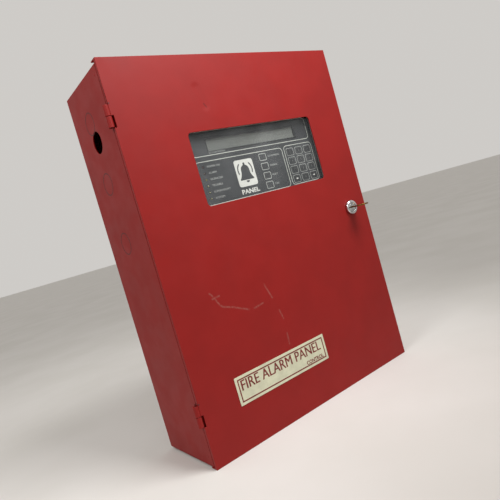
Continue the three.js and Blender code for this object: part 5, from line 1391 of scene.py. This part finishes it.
TAB_INSET = 14
TAB_HEIGHT = 6  # above the lid
BATTERY_LABEL_RISE = 22
VENT = [(0.0, -SUNK), (6, -SUNK), (6, 0.5), (5.2, 0.9), (0.0, 0.9)]
VENTS = 6
VENT_PITCH = 18
TAB_SLEEVE = [(-4.2, 0), (4.2, 0), (4.2, 7.5), (2.2, 10.5), (-2.2, 10.5), (-4.2, 7.5)]


def build_battery(node):
    """A battery's label and its generic print, and the vents, tab guards and seams of its case."""
    low, high, centre = span_of(node)
    front = low.y
    label = (centre.x, low.z + BATTERY_LABEL_RISE)
    bm = bmesh.new()
    add_prism(bm, rounded(92, 30, 2, *label), front - 0.12, front + SUNK)
    make_piece(f"{node}_label", bm, CREAM)
    bm = bmesh.new()
    y0, y1 = front - 0.2, front - 0.08
    add_text(bm, "12 V", centre.x - 26, low.z + 18, 12, y0, y1, None, "CENTRE")
    for words, rise in (("SEALED LEAD-ACID", 26), ("STANDBY BATTERY", 19)):
        add_text(bm, words, centre.x + 18, low.z + rise, 3.2, y0, y1, 44, "CENTRE")
    add_outline_frame(bm, (88, 26), 1.5, label, 0.7, y0, y1)
    make_piece(f"{node}_print", bm, LABEL_INK)
    bm = bmesh.new()
    lid = high.z - TAB_HEIGHT
    for i in range(VENTS):
        x = centre.x - (VENTS - 1) / 2 * VENT_PITCH + i * VENT_PITCH
        add_turned(bm, VENT, x, low.y + 40, lid, "Z", 20)
    tab_y = low.y + TAB_INSET
    for x in (low.x + TAB_INSET, high.x - TAB_INSET):
        for y0, y1 in ((1.6, 7), (-7, -1.6)):
            add_prism(bm, rounded(13, 1.6, 0.5, x, lid + 0.7, 2), tab_y + y0, tab_y + y1)
    for z in (low.z + 44, low.z + 88):
        add_block(bm, low.x + 6, high.x - 6, front - 0.5, front + SUNK, z, z + 1.2)
    make_piece(f"{node}_mouldings", bm, BATTERY_CASE, edge=0.3)


def build_tab_sleeves():
    """The sleeves on the batteries' leads: red at the left and black at the right of each battery."""
    for colour, material, edge_x in (("red", RED_LEAD, 0), ("black", BLACK_LEAD, 1)):
        bm = bmesh.new()
        for node in ("battery_left", "battery_right"):
            low, high, _ = span_of(node)
            x = (low.x + TAB_INSET, high.x - TAB_INSET)[edge_x]
            tab_y = low.y + TAB_INSET
            add_prism(bm, [(x + a, high.z - 5 + b) for a, b in TAB_SLEEVE], tab_y - 2.2, tab_y + 2.2)
        make_piece(f"battery_sleeves_{colour}", bm, material, edge=0.5)


# ---- Floor, lights and camera ----


def build_floor():
    """A plain pale floor at the object's lowest point."""
    surface = Surface("pale_floor")
    surface.colour(surface.mix(surface.patches(260, 4.0), srgb(204, 201, 196), srgb(210, 207, 203)))
    surface.uneven_gloss(40, 0.75, 0.85)
    bm = bmesh.new()
    bmesh.ops.create_grid(bm, x_segments=2, y_segments=2, size=FLOOR_SIZE / 2 * MM)
    mesh = bpy.data.meshes.new("floor")
    bm.to_mesh(mesh)
    bm.free()
    mesh.materials.append(surface.material)
    floor = bpy.data.objects.new("floor", mesh)
    floor.location.z = cad_low.z
    bpy.context.scene.collection.objects.link(floor)


def build_world():
    """A pale even sky."""
    world = bpy.data.worlds.new("world")
    world.use_nodes = True
    background = world.node_tree.nodes["Background"]
    background.inputs["Color"].default_value = srgb(*WORLD_COLOUR)
    background.inputs["Strength"].default_value = WORLD_STRENGTH
    bpy.context.scene.world = world


def build_light(name, place, target, size, power, spread):
    """A soft square light in mm, facing a point, with its light spread over an angle in degrees."""
    data = bpy.data.lights.new(name, "AREA")
    data.size = size * MM
    data.energy = power
    data.spread = math.radians(spread)
    light = bpy.data.objects.new(name, data)
    bpy.context.scene.collection.objects.link(light)
    light.location = Vector(place) * MM
    light.rotation_euler = (Vector(target) - Vector(place)).to_track_quat("-Z", "Y").to_euler()


def build_camera():
    data = bpy.data.cameras.new("camera")
    data.lens = LENS
    data.sensor_width = 36
    data.clip_end = 200
    camera = bpy.data.objects.new("camera", data)
    bpy.context.scene.collection.objects.link(camera)
    azimuth = math.radians(CAMERA_AZIMUTH)
    elevation = math.radians(CAMERA_ELEVATION)
    roll = math.radians(CAMERA_ROLL)
    aim = Euler((math.pi / 2 + elevation, 0.0, -azimuth)).to_matrix().to_4x4()
    camera.matrix_world = Matrix.Translation(Vector(CAMERA_PLACE) * MM) @ aim @ Matrix.Rotation(roll, 4, "Z")
    bpy.context.scene.camera = camera
    bpy.context.scene.view_settings.view_transform = "Standard"


dress_cad_nodes()
build_cabinet_marks()
build_knockout_rings()
build_label()
build_lock()
build_retainer_nuts()
build_overlay_frames()
build_legends()
build_emblem()
build_display_film()
build_key_outlines()
build_button_outlines()
build_key_marks()
build_lamps()
build_main_board()
build_power_board()
build_terminals()
build_fasteners()
build_transformer()
build_leads()
for battery in ("battery_left", "battery_right"):
    build_battery(battery)
build_tab_sleeves()
build_ribbon_plug()
build_display_board()
build_floor()
build_world()
for light in LIGHTS:
    build_light(*light)
build_camera()
